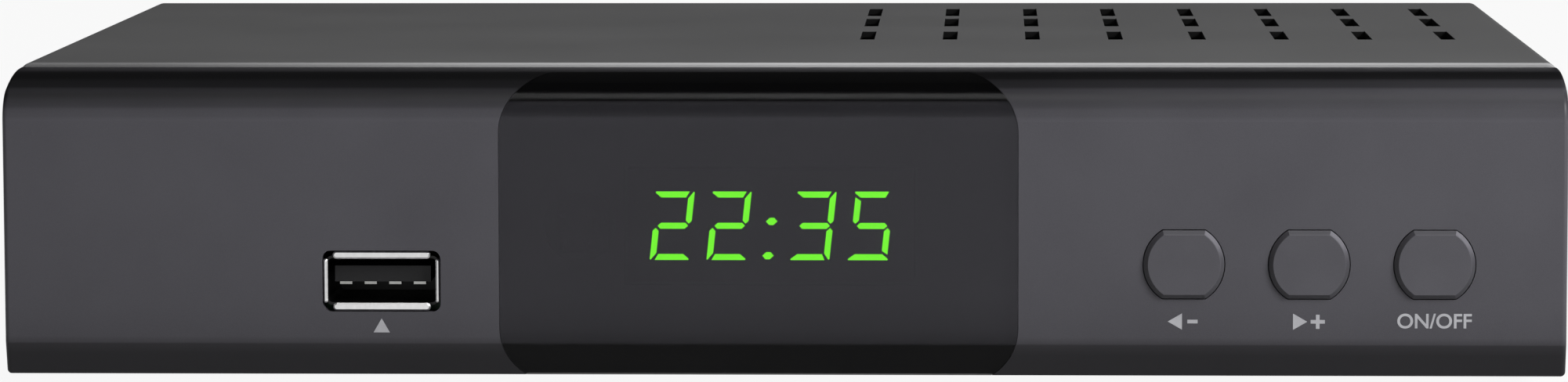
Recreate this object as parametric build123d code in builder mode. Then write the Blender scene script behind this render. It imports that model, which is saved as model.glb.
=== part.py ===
"""A digital television tuner: a moulded front panel on a two-piece steel case, with its boards and sockets.

Millimetres. +X is to the right seen from the front, +Y runs from the front panel to the rear sockets and
+Z is up. The origin is on the floor under the middle of the whole box, sockets included.
"""

import os
from math import cos, radians, sin, sqrt, tan

from build123d import *

os.makedirs("parts", exist_ok=True)

# Whole case
panel_width = 180.0
body_depth = 122.0
body_height = 35.3
socket_reach = 10.0
slip = 0.15
seat = 0.03

# Rubber feet
foot_height = 2.5
foot_radius = 6.0
foot_bevel = 0.8
foot_side_inset = 16.0
foot_front_inset = 34.0
foot_rear_inset = 14.0

# Sheet steel of the cover and the base
sheet = 0.8
bend_radius = 1.4
cover_inset = 0.15
cover_step = 0.5
cover_edge_round = 0.3
cover_lift = 0.3
rear_flange = 7.5
side_flange = 12.0
front_flange = 5.4
bend_relief = 1.0

# Front panel
panel_depth = 12.0
panel_wall = 2.2
panel_end_round = 0.6
panel_gap = 0.1
chin_height = 3.7
chin_setback = 1.0
brow_radius = 4.0
brow_turn = 70.0
tongue_length = 4.0
hook_width = 8.0
hook_thickness = 1.6
hook_barb = 1.1
hook_tip = 2.5
hook_root = 4.0
hook_play = 0.3
hook_side_inset = 22.0

# Smoked window over the display
window_width = 59.7
window_side_inset = 62.88
window_reach = 8.0
window_overrun = 0.95
window_corner = 6.4
window_thickness = 1.2
window_gap = 0.05

# Four-digit display
display_offset = 1.42
display_height = 17.24
display_width = 33.0
display_tall = 13.0
display_gap = 0.35
display_play = 0.4
digit_width = 4.5
digit_height = 8.05
digit_stroke = 0.8
digit_gap = 0.14
digit_slant = 6.2
digit_pitch = 6.53
digit_middle_pitch = 9.72
segment_depth = 0.6
colon_width = 1.26
colon_heights = (0.56, 4.54)
clock_digits = "2235"

# Push buttons and their switches
button_names = ("channel_down", "channel_up", "power")
button_pitch = 14.345
button_side_inset = 15.16
button_height = 13.0
button_radius = 4.75
button_flat = 4.05
button_proud = 0.6
button_bevel = 0.5
button_gap = 0.12
button_lip = 1.0
button_lip_thickness = 1.0
button_stem_radius = 2.0
button_travel = 0.4
switch_size = 6.2
switch_height = 3.4
plunger_radius = 1.7
plunger_reach = 1.6
plunger_inside = 1.6
plunger_gap = 0.1

# Upright board behind the panel
front_board_depth = 9.6
front_board_left_inset = 0.5
front_board_right_inset = 4.0
front_board_lift = 5.2
front_board_drop = 4.5
boss_radius = 3.0
boss_edge = 4.2
boss_sink = 0.5
receiver_offset = 22.0
receiver_width = 6.0
receiver_tall = 7.0
receiver_depth = 4.4
receiver_lens_radius = 2.2
receiver_lens_taper = 20.0
receiver_hole_radius = 4.2

# Flat lead between the boards
ribbon_width = 12.0
ribbon_thickness = 0.9
ribbon_offset = 8.0
ribbon_height = 22.0
ribbon_bend = 5.0
ribbon_socket_width = 15.0
ribbon_socket_thickness = 5.5
ribbon_socket_tall = 5.0

# USB socket
usb_window_gap = 13.66
usb_width = 12.5
usb_height = 5.12
usb_sheet = 0.3
usb_corner = 0.5
usb_length = 14.0
usb_recess = 0.25
usb_lip_length = 1.3
usb_lip_reach = 0.8
usb_lip_bevel = 0.18
usb_side_lip = 0.5
usb_long_lip = 0.9
usb_long_lip_trim = 1.2
usb_opening_gap = 0.1
usb_opening_corner = 1.0
usb_tongue_width = 11.1
usb_tongue_thickness = 1.84
usb_tongue_drop = 0.95
usb_tongue_recess = 1.6
usb_contact_width = 1.4
usb_contact_thickness = 0.3
usb_contact_pitch = 2.85

# Main board
board_thickness = 1.6
board_lift = 6.45
board_front = 24.0
board_side_inset = 6.7
board_rear_gap = 1.2
tab_front = 4.5
tab_side = 13.0
standoff_radius = 3.0
standoff_edge = 4.5
screw_radius = 1.3
screw_hole_gap = 0.3
screw_head_radius = 2.75
screw_head_height = 1.8
screw_grip = 4.0

# Vents
vent_columns = 8
vent_pitch = 10.21
vent_side_inset = 9.65
vent_width = 1.8
vent_length = 15.0
vent_starts = (38.5, 62.5, 82.2)
floor_vent_rows = 2
floor_vent_columns = 6
floor_vent_row_pitch = 20.0

# Tuner can and aerial connectors
aerial_pitch = 20.0
aerial_height = 8.5
aerial_flange_radius = 6.6
aerial_flange = 1.2
aerial_hole_gap = 0.4
aerial_bore_radius = 4.8
aerial_contact_radius = 1.85
aerial_contact_bore = 1.2
aerial_contact_depth = 9.0
aerial_contact_recess = 1.2
loop_radius = 4.76
loop_wall = 0.65
loop_pin_radius = 1.15
loop_pin_recess = 0.8
loop_pin_bevel = 0.6
rim_bevel = 0.2
collar_radius = 5.6
collar_proud = 0.6
insulator_length = 4.5
can_width = 38.0
can_depth = 30.0
can_height = 16.0
can_sheet = 0.5
can_lid_rim = 1.5
can_lid_step = 0.5

# Picture, sound and power sockets, in one row with the can along the rear of the board
row_margin = 2.0
scart_width = 49.0
scart_tall = 17.0
scart_depth = 19.0
scart_proud = 1.2
scart_corner = 1.0
scart_ring_width = 46.0
scart_ring_tall = 14.0
scart_ring_slant = 4.0
scart_groove = 1.5
scart_groove_depth = 10.0
scart_slots = 10
scart_slot_pitch = 3.81
scart_slot_width = 1.2
scart_slot_tall = 3.4
scart_row_pitch = 5.6
scart_slot_depth = 8.0
hdmi_width = 15.0
hdmi_tall = 5.7
hdmi_depth = 12.0
hdmi_shoulder = 1.6
hdmi_sheet = 0.4
hdmi_proud = 0.5
hdmi_tongue_width = 11.8
hdmi_tongue_thickness = 1.2
hdmi_tongue_recess = 1.0
coaxial_size = 11.0
coaxial_depth = 12.0
coaxial_height = 6.5
coaxial_radius = 4.15
coaxial_wall = 0.7
coaxial_reach = 8.0
coaxial_bore = 1.65
coaxial_recess = 0.6
dc_width = 9.2
dc_tall = 11.0
dc_depth = 14.0
dc_proud = 0.6
dc_height = 6.5
dc_bore_radius = 3.15
dc_bore_depth = 9.5
dc_pin_radius = 1.0
dc_pin_recess = 1.0
dc_pin_root = 2.0
dc_pin_root_radius = 1.6
socket_hole_gap = 0.4

# Parts on the main board: from its right-hand edge and from the rear wall
processor_place = (38.0, 56.0)
processor_size = 17.0
processor_thickness = 1.4
sink_size = 32.0
sink_base = 2.0
sink_height = 9.0
sink_fins = 8
sink_fin_thickness = 1.2
memory_places = ((64.0, 48.0), (64.0, 64.0))
memory_size = (14.0, 9.0, 1.1)
inductor_places = ((34.0, 30.0), (50.0, 30.0))
inductor_size = (8.0, 8.0, 4.5)
inductor_corner = 1.6
capacitor_places = ((19.0, 24.0), (19.0, 36.0), (9.0, 32.0))
capacitor_radius = 4.0
capacitor_height = 12.0
capacitor_bevel = 0.4
crystal_place = (74.0, 78.0)
crystal_size = (10.8, 4.6, 3.6)

# Places worked out from the sizes above
front_y = -(body_depth + socket_reach - button_proud) / 2
rear_y = front_y + body_depth
bottom_z = foot_height
top_z = bottom_z + body_height
panel_half = panel_width / 2
panel_top = top_z - cover_step
panel_back_y = front_y + panel_depth
panel_inner_half = panel_half - panel_wall
cover_half = panel_half - cover_inset
cover_front_y = panel_back_y + panel_gap
base_half = cover_half - sheet - slip
base_side_y = panel_back_y + tongue_length + bend_relief
lining_top = top_z - sheet - slip
wall_top = top_z - bend_radius - slip
floor_z = bottom_z + sheet
wall_y = rear_y - sheet - panel_gap
wall_inner_y = wall_y - sheet
middle_bend = bend_radius - sheet / 2

brow_back_radius = (panel_depth - brow_radius * (1 - cos(radians(brow_turn)))) / cos(radians(brow_turn))
brow_rise = brow_radius * sin(radians(brow_turn)) + brow_back_radius * (1 - sin(radians(brow_turn)))
brow_start = panel_top - brow_rise
window_right = panel_half - window_side_inset
window_left = window_right - window_width
window_x = (window_left + window_right) / 2
window_top = panel_top - brow_back_radius + sqrt(brow_back_radius**2 - (panel_depth - window_reach) ** 2)
window_bottom = bottom_z - window_overrun

hook_low = bottom_z + panel_wall
hook_top = hook_low + hook_thickness
catch_y = cover_front_y + sheet + panel_gap
hook_columns = (-panel_half + hook_side_inset, 0, panel_half - hook_side_inset)

board_under_z = bottom_z + board_lift
board_top_z = board_under_z + board_thickness
board_half = base_half - board_side_inset
board_front_y = front_y + board_front
board_rear_y = wall_inner_y - board_rear_gap
front_board_y = front_y + front_board_depth
front_board_back_y = front_board_y + board_thickness
front_board_left = window_left + front_board_left_inset
front_board_right = panel_half - front_board_right_inset
front_board_bottom = bottom_z + front_board_lift
front_board_top = panel_top - front_board_drop
boss_left = front_board_left + boss_edge
boss_right = front_board_right - boss_edge
boss_top = front_board_top - boss_edge
boss_bottom = front_board_bottom + boss_edge
boss_middle = window_right + boss_radius + boss_edge
boss_places = (
    (boss_left, boss_top),
    (boss_left, boss_bottom),
    (boss_middle, boss_top),
    (boss_right, boss_top),
)

button_z = bottom_z + button_height
button_columns = {
    name: panel_half - button_side_inset - button_pitch * (len(button_names) - 1 - i)
    for i, name in enumerate(button_names)
}
switch_front_y = front_board_y - switch_height
plunger_tip_y = switch_front_y - plunger_reach
button_lip_y = front_y + panel_wall + panel_gap

display_x = window_x + display_offset
display_z = bottom_z + display_height
display_face_y = front_y + window_thickness + display_gap
receiver_x = display_x - receiver_offset

usb_x = window_left - usb_window_gap
usb_z = board_top_z + usb_height / 2 + usb_sheet
usb_mouth_y = front_y + usb_recess
usb_root_y = usb_mouth_y + usb_lip_reach
usb_back_y = usb_mouth_y + usb_length - usb_sheet
usb_tongue_z = usb_z + usb_height / 2 - usb_tongue_drop - usb_tongue_thickness

standoff_left = -board_half + standoff_edge
standoff_right = board_half - standoff_edge
aerial_z = board_top_z + aerial_height
can_rear_y = wall_inner_y - aerial_flange - panel_gap
socket_end_y = rear_y + socket_reach

row_left = -board_half + row_margin
row_right = board_half - row_margin
row_filled = can_width + scart_width + hdmi_width + coaxial_size + dc_width
row_gap = (row_right - row_left - row_filled) / 4
can_x = row_left + can_width / 2
aerial_x = can_x - aerial_pitch / 2
loop_x = can_x + aerial_pitch / 2
scart_x = can_x + (can_width + scart_width) / 2 + row_gap
hdmi_x = scart_x + (scart_width + hdmi_width) / 2 + row_gap
coaxial_x = hdmi_x + (hdmi_width + coaxial_size) / 2 + row_gap
dc_x = row_right - dc_width / 2
scart_z = board_top_z + scart_tall / 2
hdmi_z = board_top_z + hdmi_tall / 2
coaxial_z = board_top_z + coaxial_height
dc_z = board_top_z + dc_height
standoff_places = (
    (standoff_left, board_front_y + standoff_edge),
    (standoff_right, board_front_y + standoff_edge),
    (standoff_left, can_rear_y - can_depth - standoff_edge),
    (standoff_right, board_rear_y - dc_depth - standoff_edge),
    (scart_x, board_rear_y - scart_depth - standoff_edge),
)
rear_screw_z = top_z - sheet - rear_flange / 2
rear_screw_places = [(x, rear_screw_z) for x in (standoff_left, 0, standoff_right)]
vent_last_x = cover_half - vent_side_inset
vent_middle_x = vent_last_x - vent_pitch * (vent_columns - 1) / 2


def upright(y):
    """The vertical plane at depth y, seen from the front. Positive extrusions come forwards."""
    return Plane.XZ.offset(-y)


def on_board(place):
    """A place given from the main board's right-hand edge and from the rear wall."""
    return board_half - place[0], wall_inner_y - place[1]


def panel_profile(inset, back, low):
    """Side profile of the panel, moved inwards by inset, from the height low to the depth back."""
    chin = Vector(-chin_setback, chin_height).normalized()
    inward = Vector(chin.Y, -chin.X)
    chin_foot = Vector(front_y + chin_setback, bottom_z) + inward * inset
    foot = chin_foot + chin * ((low - chin_foot.Y) / chin.Y)
    chin_top = chin_foot + chin * ((front_y + inset - chin_foot.X) / chin.X)
    with BuildLine() as outline:
        face = Polyline(foot, chin_top, (front_y + inset, brow_start))
        front_arc = JernArc(face @ 1, (0, 1), brow_radius - inset, -brow_turn)
        back_arc = JernArc(front_arc @ 1, front_arc % 1, brow_back_radius - inset, brow_turn - 90)
        Polyline(back_arc @ 1, (back, panel_top - inset), (back, low), foot)
    make_face(outline.edges())


def window_outline(grow):
    """Front outline of the window, grown outwards by grow."""
    with Locations((window_x, (window_top + window_bottom) / 2)):
        RectangleRounded(window_width + 2 * grow, window_top - window_bottom + 2 * grow, window_corner + grow)


def window_band(thickness):
    """Side section of the panel's outer skin down to thickness, open at the bottom edge."""
    panel_profile(0, panel_back_y, bottom_z)
    with BuildSketch(mode=Mode.PRIVATE) as inner:
        panel_profile(thickness, panel_back_y + thickness, bottom_z - thickness)
    add(inner.sketch, mode=Mode.SUBTRACT)


def button_outline(grow):
    """A circle with a flat top and bottom, grown outwards by grow."""
    Circle(button_radius + grow)
    Rectangle(2 * (button_radius + grow), 2 * (button_flat + grow), mode=Mode.INTERSECT)


def usb_outline(grow):
    """Outline of the USB socket's mouth, grown outwards by grow."""
    with Locations((usb_x, usb_z)):
        RectangleRounded(usb_width + 2 * grow, usb_height + 2 * grow, usb_corner + grow)


def mirrored(points, across, down):
    """A segment's points, turned over left to right or top to bottom within its digit."""
    return [(digit_width - x if across else x, digit_height - z if down else z) for x, z in points]


def slanted(points, x):
    """A segment's points leaning with the digit, whose middle stands at x on the display."""
    lean = tan(radians(digit_slant))
    low, left = display_z - digit_height / 2, x - digit_width / 2
    return [(left + px + (pz - digit_height / 2) * lean, low + pz) for px, pz in points]


# Segments of one upright digit, from its lower left corner
inner_edge = digit_stroke + digit_gap
middle = digit_height / 2
top_bar = (
    (digit_gap, digit_height),
    (digit_width - digit_gap, digit_height),
    (digit_width - inner_edge, digit_height - digit_stroke),
    (inner_edge, digit_height - digit_stroke),
)
upper_left = (
    (0, digit_height - digit_gap),
    (0, middle + digit_gap),
    (digit_stroke / 2, middle + digit_gap),
    (digit_stroke, middle + digit_stroke / 2 + digit_gap),
    (digit_stroke, digit_height - digit_stroke - digit_gap),
)
middle_bar = (
    (digit_stroke / 2 + digit_gap, middle),
    (inner_edge, middle + digit_stroke / 2),
    (digit_width - inner_edge, middle + digit_stroke / 2),
    (digit_width - digit_stroke / 2 - digit_gap, middle),
    (digit_width - inner_edge, middle - digit_stroke / 2),
    (inner_edge, middle - digit_stroke / 2),
)
segments = {
    "top": top_bar,
    "bottom": mirrored(top_bar, False, True),
    "upper_left": upper_left,
    "upper_right": mirrored(upper_left, True, False),
    "lower_left": mirrored(upper_left, False, True),
    "lower_right": mirrored(upper_left, True, True),
    "middle": middle_bar,
}
lit_segments = {
    "2": ("top", "upper_right", "middle", "lower_left", "bottom"),
    "3": ("top", "upper_right", "middle", "lower_right", "bottom"),
    "5": ("top", "upper_left", "middle", "lower_right", "bottom"),
}
digit_offsets = (
    -digit_middle_pitch / 2 - digit_pitch,
    -digit_middle_pitch / 2,
    digit_middle_pitch / 2,
    digit_middle_pitch / 2 + digit_pitch,
)


def digit_faces(lit):
    """Faces of the digits' segments that are lit, or of those that are dark."""
    for digit, offset_x in zip(clock_digits, digit_offsets):
        for name, points in segments.items():
            if (name in lit_segments[digit]) == lit:
                Polygon(*slanted(points, display_x + offset_x), align=None)


def colon_faces():
    """The two six-sided dots between the hours and the minutes."""
    left, right = (digit_width - colon_width) / 2, (digit_width + colon_width) / 2
    half = digit_stroke / 2
    for height in colon_heights:
        points = ((left, height), (left + half, height + half), (right - half, height + half),
                  (right, height), (right - half, height - half), (left + half, height - half))
        Polygon(*slanted(points, display_x), align=None)


# Case

with BuildPart() as front_panel:
    with BuildSketch(Plane.YZ):
        panel_profile(0, panel_back_y, bottom_z)
    extrude(amount=panel_half, both=True)
    end_edges = front_panel.faces().filter_by(Axis.X).edges()
    fillet([e for e in end_edges if e.center().Y < panel_back_y - panel_gap], panel_end_round)
    with BuildSketch(Plane.YZ):
        panel_profile(panel_wall, panel_back_y + panel_wall, bottom_z + panel_wall)
    extrude(amount=panel_inner_half, both=True, mode=Mode.SUBTRACT)
    # Tongue round the back, inside the cover
    tongue_low = floor_z + bend_radius
    with BuildSketch(upright(panel_back_y)):
        with Locations((0, tongue_low)):
            tongue = Rectangle(2 * base_half, lining_top - tongue_low, align=(Align.CENTER, Align.MIN))
        fillet(tongue.vertices().group_by(Axis.Y)[-1], bend_radius)
        with Locations((0, tongue_low)):
            Rectangle(
                2 * panel_inner_half,
                panel_top - panel_wall - tongue_low,
                align=(Align.CENTER, Align.MIN),
                mode=Mode.SUBTRACT,
            )
    extrude(amount=-tongue_length)
    # Pocket for the window, and openings behind it for the display and the receiver
    with BuildSketch(upright(front_y)):
        window_outline(window_gap)
    with BuildSketch(Plane.YZ.offset(window_x), mode=Mode.PRIVATE) as skin:
        window_band(window_thickness + window_gap)
    pocket = extrude(skin.sketch, amount=window_width, both=True, mode=Mode.PRIVATE)
    outline = extrude(amount=-(window_reach + window_gap), mode=Mode.PRIVATE)
    add(pocket & outline, mode=Mode.SUBTRACT)
    with BuildSketch(upright(front_y + panel_wall)):
        with Locations((display_x, display_z)):
            Rectangle(display_width + 2 * display_play, display_tall + 2 * display_play)
        with Locations((receiver_x, display_z)):
            Circle(receiver_hole_radius)
    extrude(amount=panel_wall - window_thickness / 2, mode=Mode.SUBTRACT)
    # Openings for the buttons and the USB socket
    for x in button_columns.values():
        with BuildSketch(upright(front_y)):
            with Locations((x, button_z)):
                button_outline(0)
        extrude(amount=-panel_wall, mode=Mode.SUBTRACT)
    with BuildSketch(upright(front_y)):
        with Locations((usb_x, usb_z)):
            usb_opening_width = usb_width + 2 * (usb_side_lip + usb_opening_gap)
            usb_opening_height = usb_height + 2 * (usb_long_lip + usb_opening_gap)
            RectangleRounded(usb_opening_width, usb_opening_height, usb_opening_corner)
    extrude(amount=-panel_wall, mode=Mode.SUBTRACT)
    # Bosses that carry the upright board
    with BuildSketch(upright(front_board_y)):
        with Locations(*boss_places):
            Circle(boss_radius)
    extrude(amount=front_board_depth - panel_wall + boss_sink)
    with BuildSketch(upright(front_board_y)):
        with Locations(*boss_places):
            Circle(screw_radius + seat)
    extrude(amount=screw_grip + screw_hole_gap, mode=Mode.SUBTRACT)
    # Snap hooks through the front edge of the base
    for x in hook_columns:
        with BuildSketch(Plane.YZ.offset(x)):
            with BuildLine():
                Polyline(
                    (panel_back_y - hook_root, hook_low),
                    (catch_y + hook_tip, hook_low),
                    (catch_y + hook_tip, hook_top),
                    (catch_y, hook_top + hook_barb),
                    (catch_y, hook_top),
                    (panel_back_y - hook_root, hook_top),
                    close=True,
                )
            make_face()
        extrude(amount=hook_width / 2, both=True)
front_panel.part.label = "front_panel"
export_step(front_panel.part, "parts/front_panel.step")

with BuildPart() as display_window:
    with BuildSketch(Plane.YZ.offset(window_x)):
        window_band(window_thickness)
    extrude(amount=window_width / 2, both=True)
    with BuildSketch(upright(front_y)):
        window_outline(0)
    extrude(amount=-window_reach, mode=Mode.INTERSECT)
display_window.part.label = "display_window"
export_step(display_window.part, "parts/display_window.step")

with BuildPart() as top_cover:
    cover_x = cover_half - sheet / 2
    cover_z = top_z - sheet / 2
    with BuildSketch(upright(cover_front_y)):
        with BuildLine() as path:
            cover_low = bottom_z + cover_lift
            corners = ((-cover_x, cover_low), (-cover_x, cover_z), (cover_x, cover_z), (cover_x, cover_low))
            FilletPolyline(*corners, radius=middle_bend)
        trace(path.line, line_width=sheet)
    extrude(amount=-(rear_y - bend_radius - cover_front_y))
    front_edges = top_cover.faces().sort_by(Axis.Y)[0].edges()
    fillet(front_edges.filter_by(Axis.X).sort_by(Axis.Z)[-1], cover_edge_round)
    # Rear edge bent down over the rear wall
    with BuildSketch(Plane.YZ):
        with BuildLine() as path:
            flange_y = rear_y - sheet / 2
            FilletPolyline(
                (rear_y - 2 * bend_radius, cover_z),
                (flange_y, cover_z),
                (flange_y, top_z - sheet - rear_flange),
                radius=middle_bend,
            )
        trace(path.line, line_width=sheet)
    extrude(amount=cover_half - bend_radius, both=True)
    with BuildSketch(upright(rear_y)):
        with Locations(*rear_screw_places):
            Circle(screw_radius + screw_hole_gap)
    extrude(amount=sheet, mode=Mode.SUBTRACT)
    with BuildSketch(Plane.XY.offset(top_z)):
        for start in vent_starts:
            with Locations((vent_middle_x, cover_front_y + start + vent_length / 2)):
                with GridLocations(vent_pitch, 1, vent_columns, 1):
                    Rectangle(vent_width, vent_length)
    extrude(amount=-sheet, mode=Mode.SUBTRACT)
top_cover.part.label = "top_cover"
export_step(top_cover.part, "parts/top_cover.step")

with BuildPart() as base_chassis:
    base_x = base_half - sheet / 2
    base_z = bottom_z + sheet / 2
    # Floor with both sides bent up
    with BuildSketch(upright(base_side_y)):
        with BuildLine() as path:
            side_top = floor_z + side_flange
            corners = ((-base_x, side_top), (-base_x, base_z), (base_x, base_z), (base_x, side_top))
            FilletPolyline(*corners, radius=middle_bend)
        trace(path.line, line_width=sheet)
    extrude(amount=-(wall_inner_y - bend_radius - bend_relief - base_side_y))
    # Floor with its front edge and the rear wall bent up
    with BuildSketch(Plane.YZ):
        with BuildLine() as path:
            FilletPolyline(
                (cover_front_y + sheet / 2, bottom_z + front_flange),
                (cover_front_y + sheet / 2, base_z),
                (wall_y - sheet / 2, base_z),
                (wall_y - sheet / 2, wall_top),
                radius=middle_bend,
            )
        trace(path.line, line_width=sheet)
    extrude(amount=base_half - bend_radius, both=True)
    with BuildSketch(upright(wall_y)):
        with Locations((0, bottom_z + bend_radius)):
            Rectangle(2 * base_half, wall_top - bottom_z - bend_radius, align=(Align.CENTER, Align.MIN))
    extrude(amount=sheet)
    # Slots for the panel's hooks
    with BuildSketch(upright(cover_front_y)):
        for x in hook_columns:
            with Locations((x, (hook_low + hook_top) / 2)):
                Rectangle(hook_width + 2 * hook_play, hook_thickness + 2 * hook_play)
    extrude(amount=-sheet, mode=Mode.SUBTRACT)
    # Openings in the rear wall
    with BuildSketch(upright(wall_y)):
        with Locations((aerial_x, aerial_z)):
            Circle(collar_radius + aerial_hole_gap)
        with Locations((loop_x, aerial_z)):
            Circle(collar_radius + aerial_hole_gap)
        with Locations((scart_x, scart_z)):
            Rectangle(scart_width + 2 * socket_hole_gap, scart_tall + 2 * socket_hole_gap)
        with Locations((hdmi_x, hdmi_z)):
            Rectangle(hdmi_width + 2 * socket_hole_gap, hdmi_tall + 2 * socket_hole_gap)
        with Locations((coaxial_x, coaxial_z)):
            Circle(coaxial_size / 2 + socket_hole_gap)
        with Locations((dc_x, board_top_z + dc_tall / 2)):
            Rectangle(dc_width + 2 * socket_hole_gap, dc_tall + 2 * socket_hole_gap)
        with Locations(*rear_screw_places):
            Circle(screw_radius + seat)
    extrude(amount=sheet, mode=Mode.SUBTRACT)
    # Vents under the processor
    with BuildSketch(Plane.XY.offset(bottom_z)):
        with Locations(on_board(processor_place)):
            with GridLocations(vent_pitch, floor_vent_row_pitch, floor_vent_columns, floor_vent_rows):
                Rectangle(vent_width, vent_length)
    extrude(amount=sheet, mode=Mode.SUBTRACT)
base_chassis.part.label = "base_chassis"
export_step(base_chassis.part, "parts/base_chassis.step")

with BuildPart() as rubber_feet:
    foot_x = base_half - foot_side_inset
    with BuildSketch(Plane.XY):
        for y in (front_y + foot_front_inset, wall_y - foot_rear_inset):
            with Locations((-foot_x, y), (foot_x, y)):
                Circle(foot_radius)
    extrude(amount=foot_height)
    chamfer(rubber_feet.faces().group_by(Axis.Z)[0].edges(), foot_bevel)
rubber_feet.part.label = "rubber_feet"
export_step(rubber_feet.part, "parts/rubber_feet.step")

with BuildPart() as cover_screws:
    with BuildSketch(upright(rear_y)):
        with Locations(*rear_screw_places):
            Circle(screw_head_radius)
    extrude(amount=-screw_head_height)
    chamfer(cover_screws.faces().group_by(Axis.Y)[-1].edges(), screw_head_height / 2)
    with BuildSketch(upright(rear_y)):
        with Locations(*rear_screw_places):
            Circle(screw_radius)
    extrude(amount=screw_grip)
cover_screws.part.label = "cover_screws"
export_step(cover_screws.part, "parts/cover_screws.step")

# Buttons and switches

for name, x in button_columns.items():
    with BuildPart() as button:
        with BuildSketch(upright(front_y - button_proud)):
            with Locations((x, button_z)):
                button_outline(-button_gap)
        extrude(amount=-(button_lip_y - front_y + button_proud))
        chamfer(button.faces().sort_by(Axis.Y)[0].edges(), button_bevel)
        with BuildSketch(upright(button_lip_y)):
            with Locations((x, button_z)):
                button_outline(button_lip)
        extrude(amount=-button_lip_thickness)
        with BuildSketch(upright(plunger_tip_y)):
            with Locations((x, button_z)):
                Circle(button_stem_radius)
        extrude(amount=plunger_tip_y - button_lip_y)
    button.part.label = f"{name}_button"
    export_step(button.part, f"parts/{name}_button.step")

    with BuildPart() as plunger:
        with BuildSketch(upright(plunger_tip_y)):
            with Locations((x, button_z)):
                Circle(plunger_radius)
        extrude(amount=-(plunger_reach + plunger_inside))
    plunger.part.label = f"{name}_plunger"
    export_step(plunger.part, f"parts/{name}_plunger.step")

with BuildPart() as switch_bodies:
    with BuildSketch(upright(front_board_y)):
        with Locations(*[(x, button_z) for x in button_columns.values()]):
            Rectangle(switch_size, switch_size)
    extrude(amount=switch_height)
    with BuildSketch(upright(switch_front_y)):
        with Locations(*[(x, button_z) for x in button_columns.values()]):
            Circle(plunger_radius + plunger_gap)
    extrude(amount=-(plunger_inside + button_travel + plunger_gap), mode=Mode.SUBTRACT)
switch_bodies.part.label = "switch_bodies"
export_step(switch_bodies.part, "parts/switch_bodies.step")

# Upright board and what it carries

with BuildPart() as front_board:
    with BuildSketch(upright(front_board_y)):
        with Locations((front_board_left, front_board_bottom)):
            Rectangle(
                front_board_right - front_board_left,
                front_board_top - front_board_bottom,
                align=(Align.MIN, Align.MIN),
            )
        with Locations(*boss_places):
            Circle(screw_radius + screw_hole_gap, mode=Mode.SUBTRACT)
    extrude(amount=-board_thickness)
front_board.part.label = "front_board"
export_step(front_board.part, "parts/front_board.step")

with BuildPart() as front_board_screws:
    with BuildSketch(upright(front_board_back_y)):
        with Locations(*boss_places):
            Circle(screw_head_radius)
    extrude(amount=-screw_head_height)
    with BuildSketch(upright(front_board_back_y)):
        with Locations(*boss_places):
            Circle(screw_radius)
    extrude(amount=board_thickness + screw_grip)
front_board_screws.part.label = "front_board_screws"
export_step(front_board_screws.part, "parts/front_board_screws.step")

with BuildPart() as display_module:
    with BuildSketch(upright(front_board_y)):
        with Locations((display_x, display_z)):
            Rectangle(display_width, display_tall)
    extrude(amount=front_board_y - display_face_y)
    with BuildSketch(upright(display_face_y)):
        digit_faces(True)
        digit_faces(False)
        colon_faces()
    extrude(amount=-segment_depth, mode=Mode.SUBTRACT)
display_module.part.label = "display_module"
export_step(display_module.part, "parts/display_module.step")

with BuildPart() as display_lit_segments:
    with BuildSketch(upright(display_face_y)):
        digit_faces(True)
        colon_faces()
    extrude(amount=-segment_depth)
display_lit_segments.part.label = "display_lit_segments"
export_step(display_lit_segments.part, "parts/display_lit_segments.step")

with BuildPart() as display_unlit_segments:
    with BuildSketch(upright(display_face_y)):
        digit_faces(False)
    extrude(amount=-segment_depth)
display_unlit_segments.part.label = "display_unlit_segments"
export_step(display_unlit_segments.part, "parts/display_unlit_segments.step")

with BuildPart() as infrared_receiver:
    with BuildSketch(upright(front_board_y)):
        with Locations((receiver_x, display_z)):
            Rectangle(receiver_width, receiver_tall)
    extrude(amount=receiver_depth)
    with BuildSketch(upright(front_board_y - receiver_depth)):
        with Locations((receiver_x, display_z)):
            Circle(receiver_lens_radius)
    extrude(amount=receiver_lens_radius, taper=receiver_lens_taper)
infrared_receiver.part.label = "infrared_receiver"
export_step(infrared_receiver.part, "parts/infrared_receiver.step")

# Flat lead between the boards

ribbon_x = display_x + ribbon_offset
ribbon_z = bottom_z + ribbon_height
ribbon_front_y = front_board_back_y + ribbon_socket_tall
ribbon_drop_y = board_front_y + ribbon_socket_thickness

with BuildPart() as front_ribbon_socket:
    with BuildSketch(upright(front_board_back_y)):
        with Locations((ribbon_x, ribbon_z)):
            Rectangle(ribbon_socket_width, ribbon_socket_thickness)
    extrude(amount=-ribbon_socket_tall)
front_ribbon_socket.part.label = "front_ribbon_socket"
export_step(front_ribbon_socket.part, "parts/front_ribbon_socket.step")

with BuildPart() as main_ribbon_socket:
    with BuildSketch(Plane.XY.offset(board_top_z)):
        with Locations((ribbon_x, ribbon_drop_y)):
            Rectangle(ribbon_socket_width, ribbon_socket_thickness)
    extrude(amount=ribbon_socket_tall)
main_ribbon_socket.part.label = "main_ribbon_socket"
export_step(main_ribbon_socket.part, "parts/main_ribbon_socket.step")

with BuildPart() as ribbon_cable:
    with BuildSketch(Plane.YZ.offset(ribbon_x)):
        with BuildLine() as path:
            FilletPolyline(
                (ribbon_front_y, ribbon_z),
                (ribbon_drop_y, ribbon_z),
                (ribbon_drop_y, board_top_z + ribbon_socket_tall),
                radius=ribbon_bend,
            )
        trace(path.line, line_width=ribbon_thickness)
    extrude(amount=ribbon_width / 2, both=True)
ribbon_cable.part.label = "ribbon_cable"
export_step(ribbon_cable.part, "parts/ribbon_cable.step")

# USB socket

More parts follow.
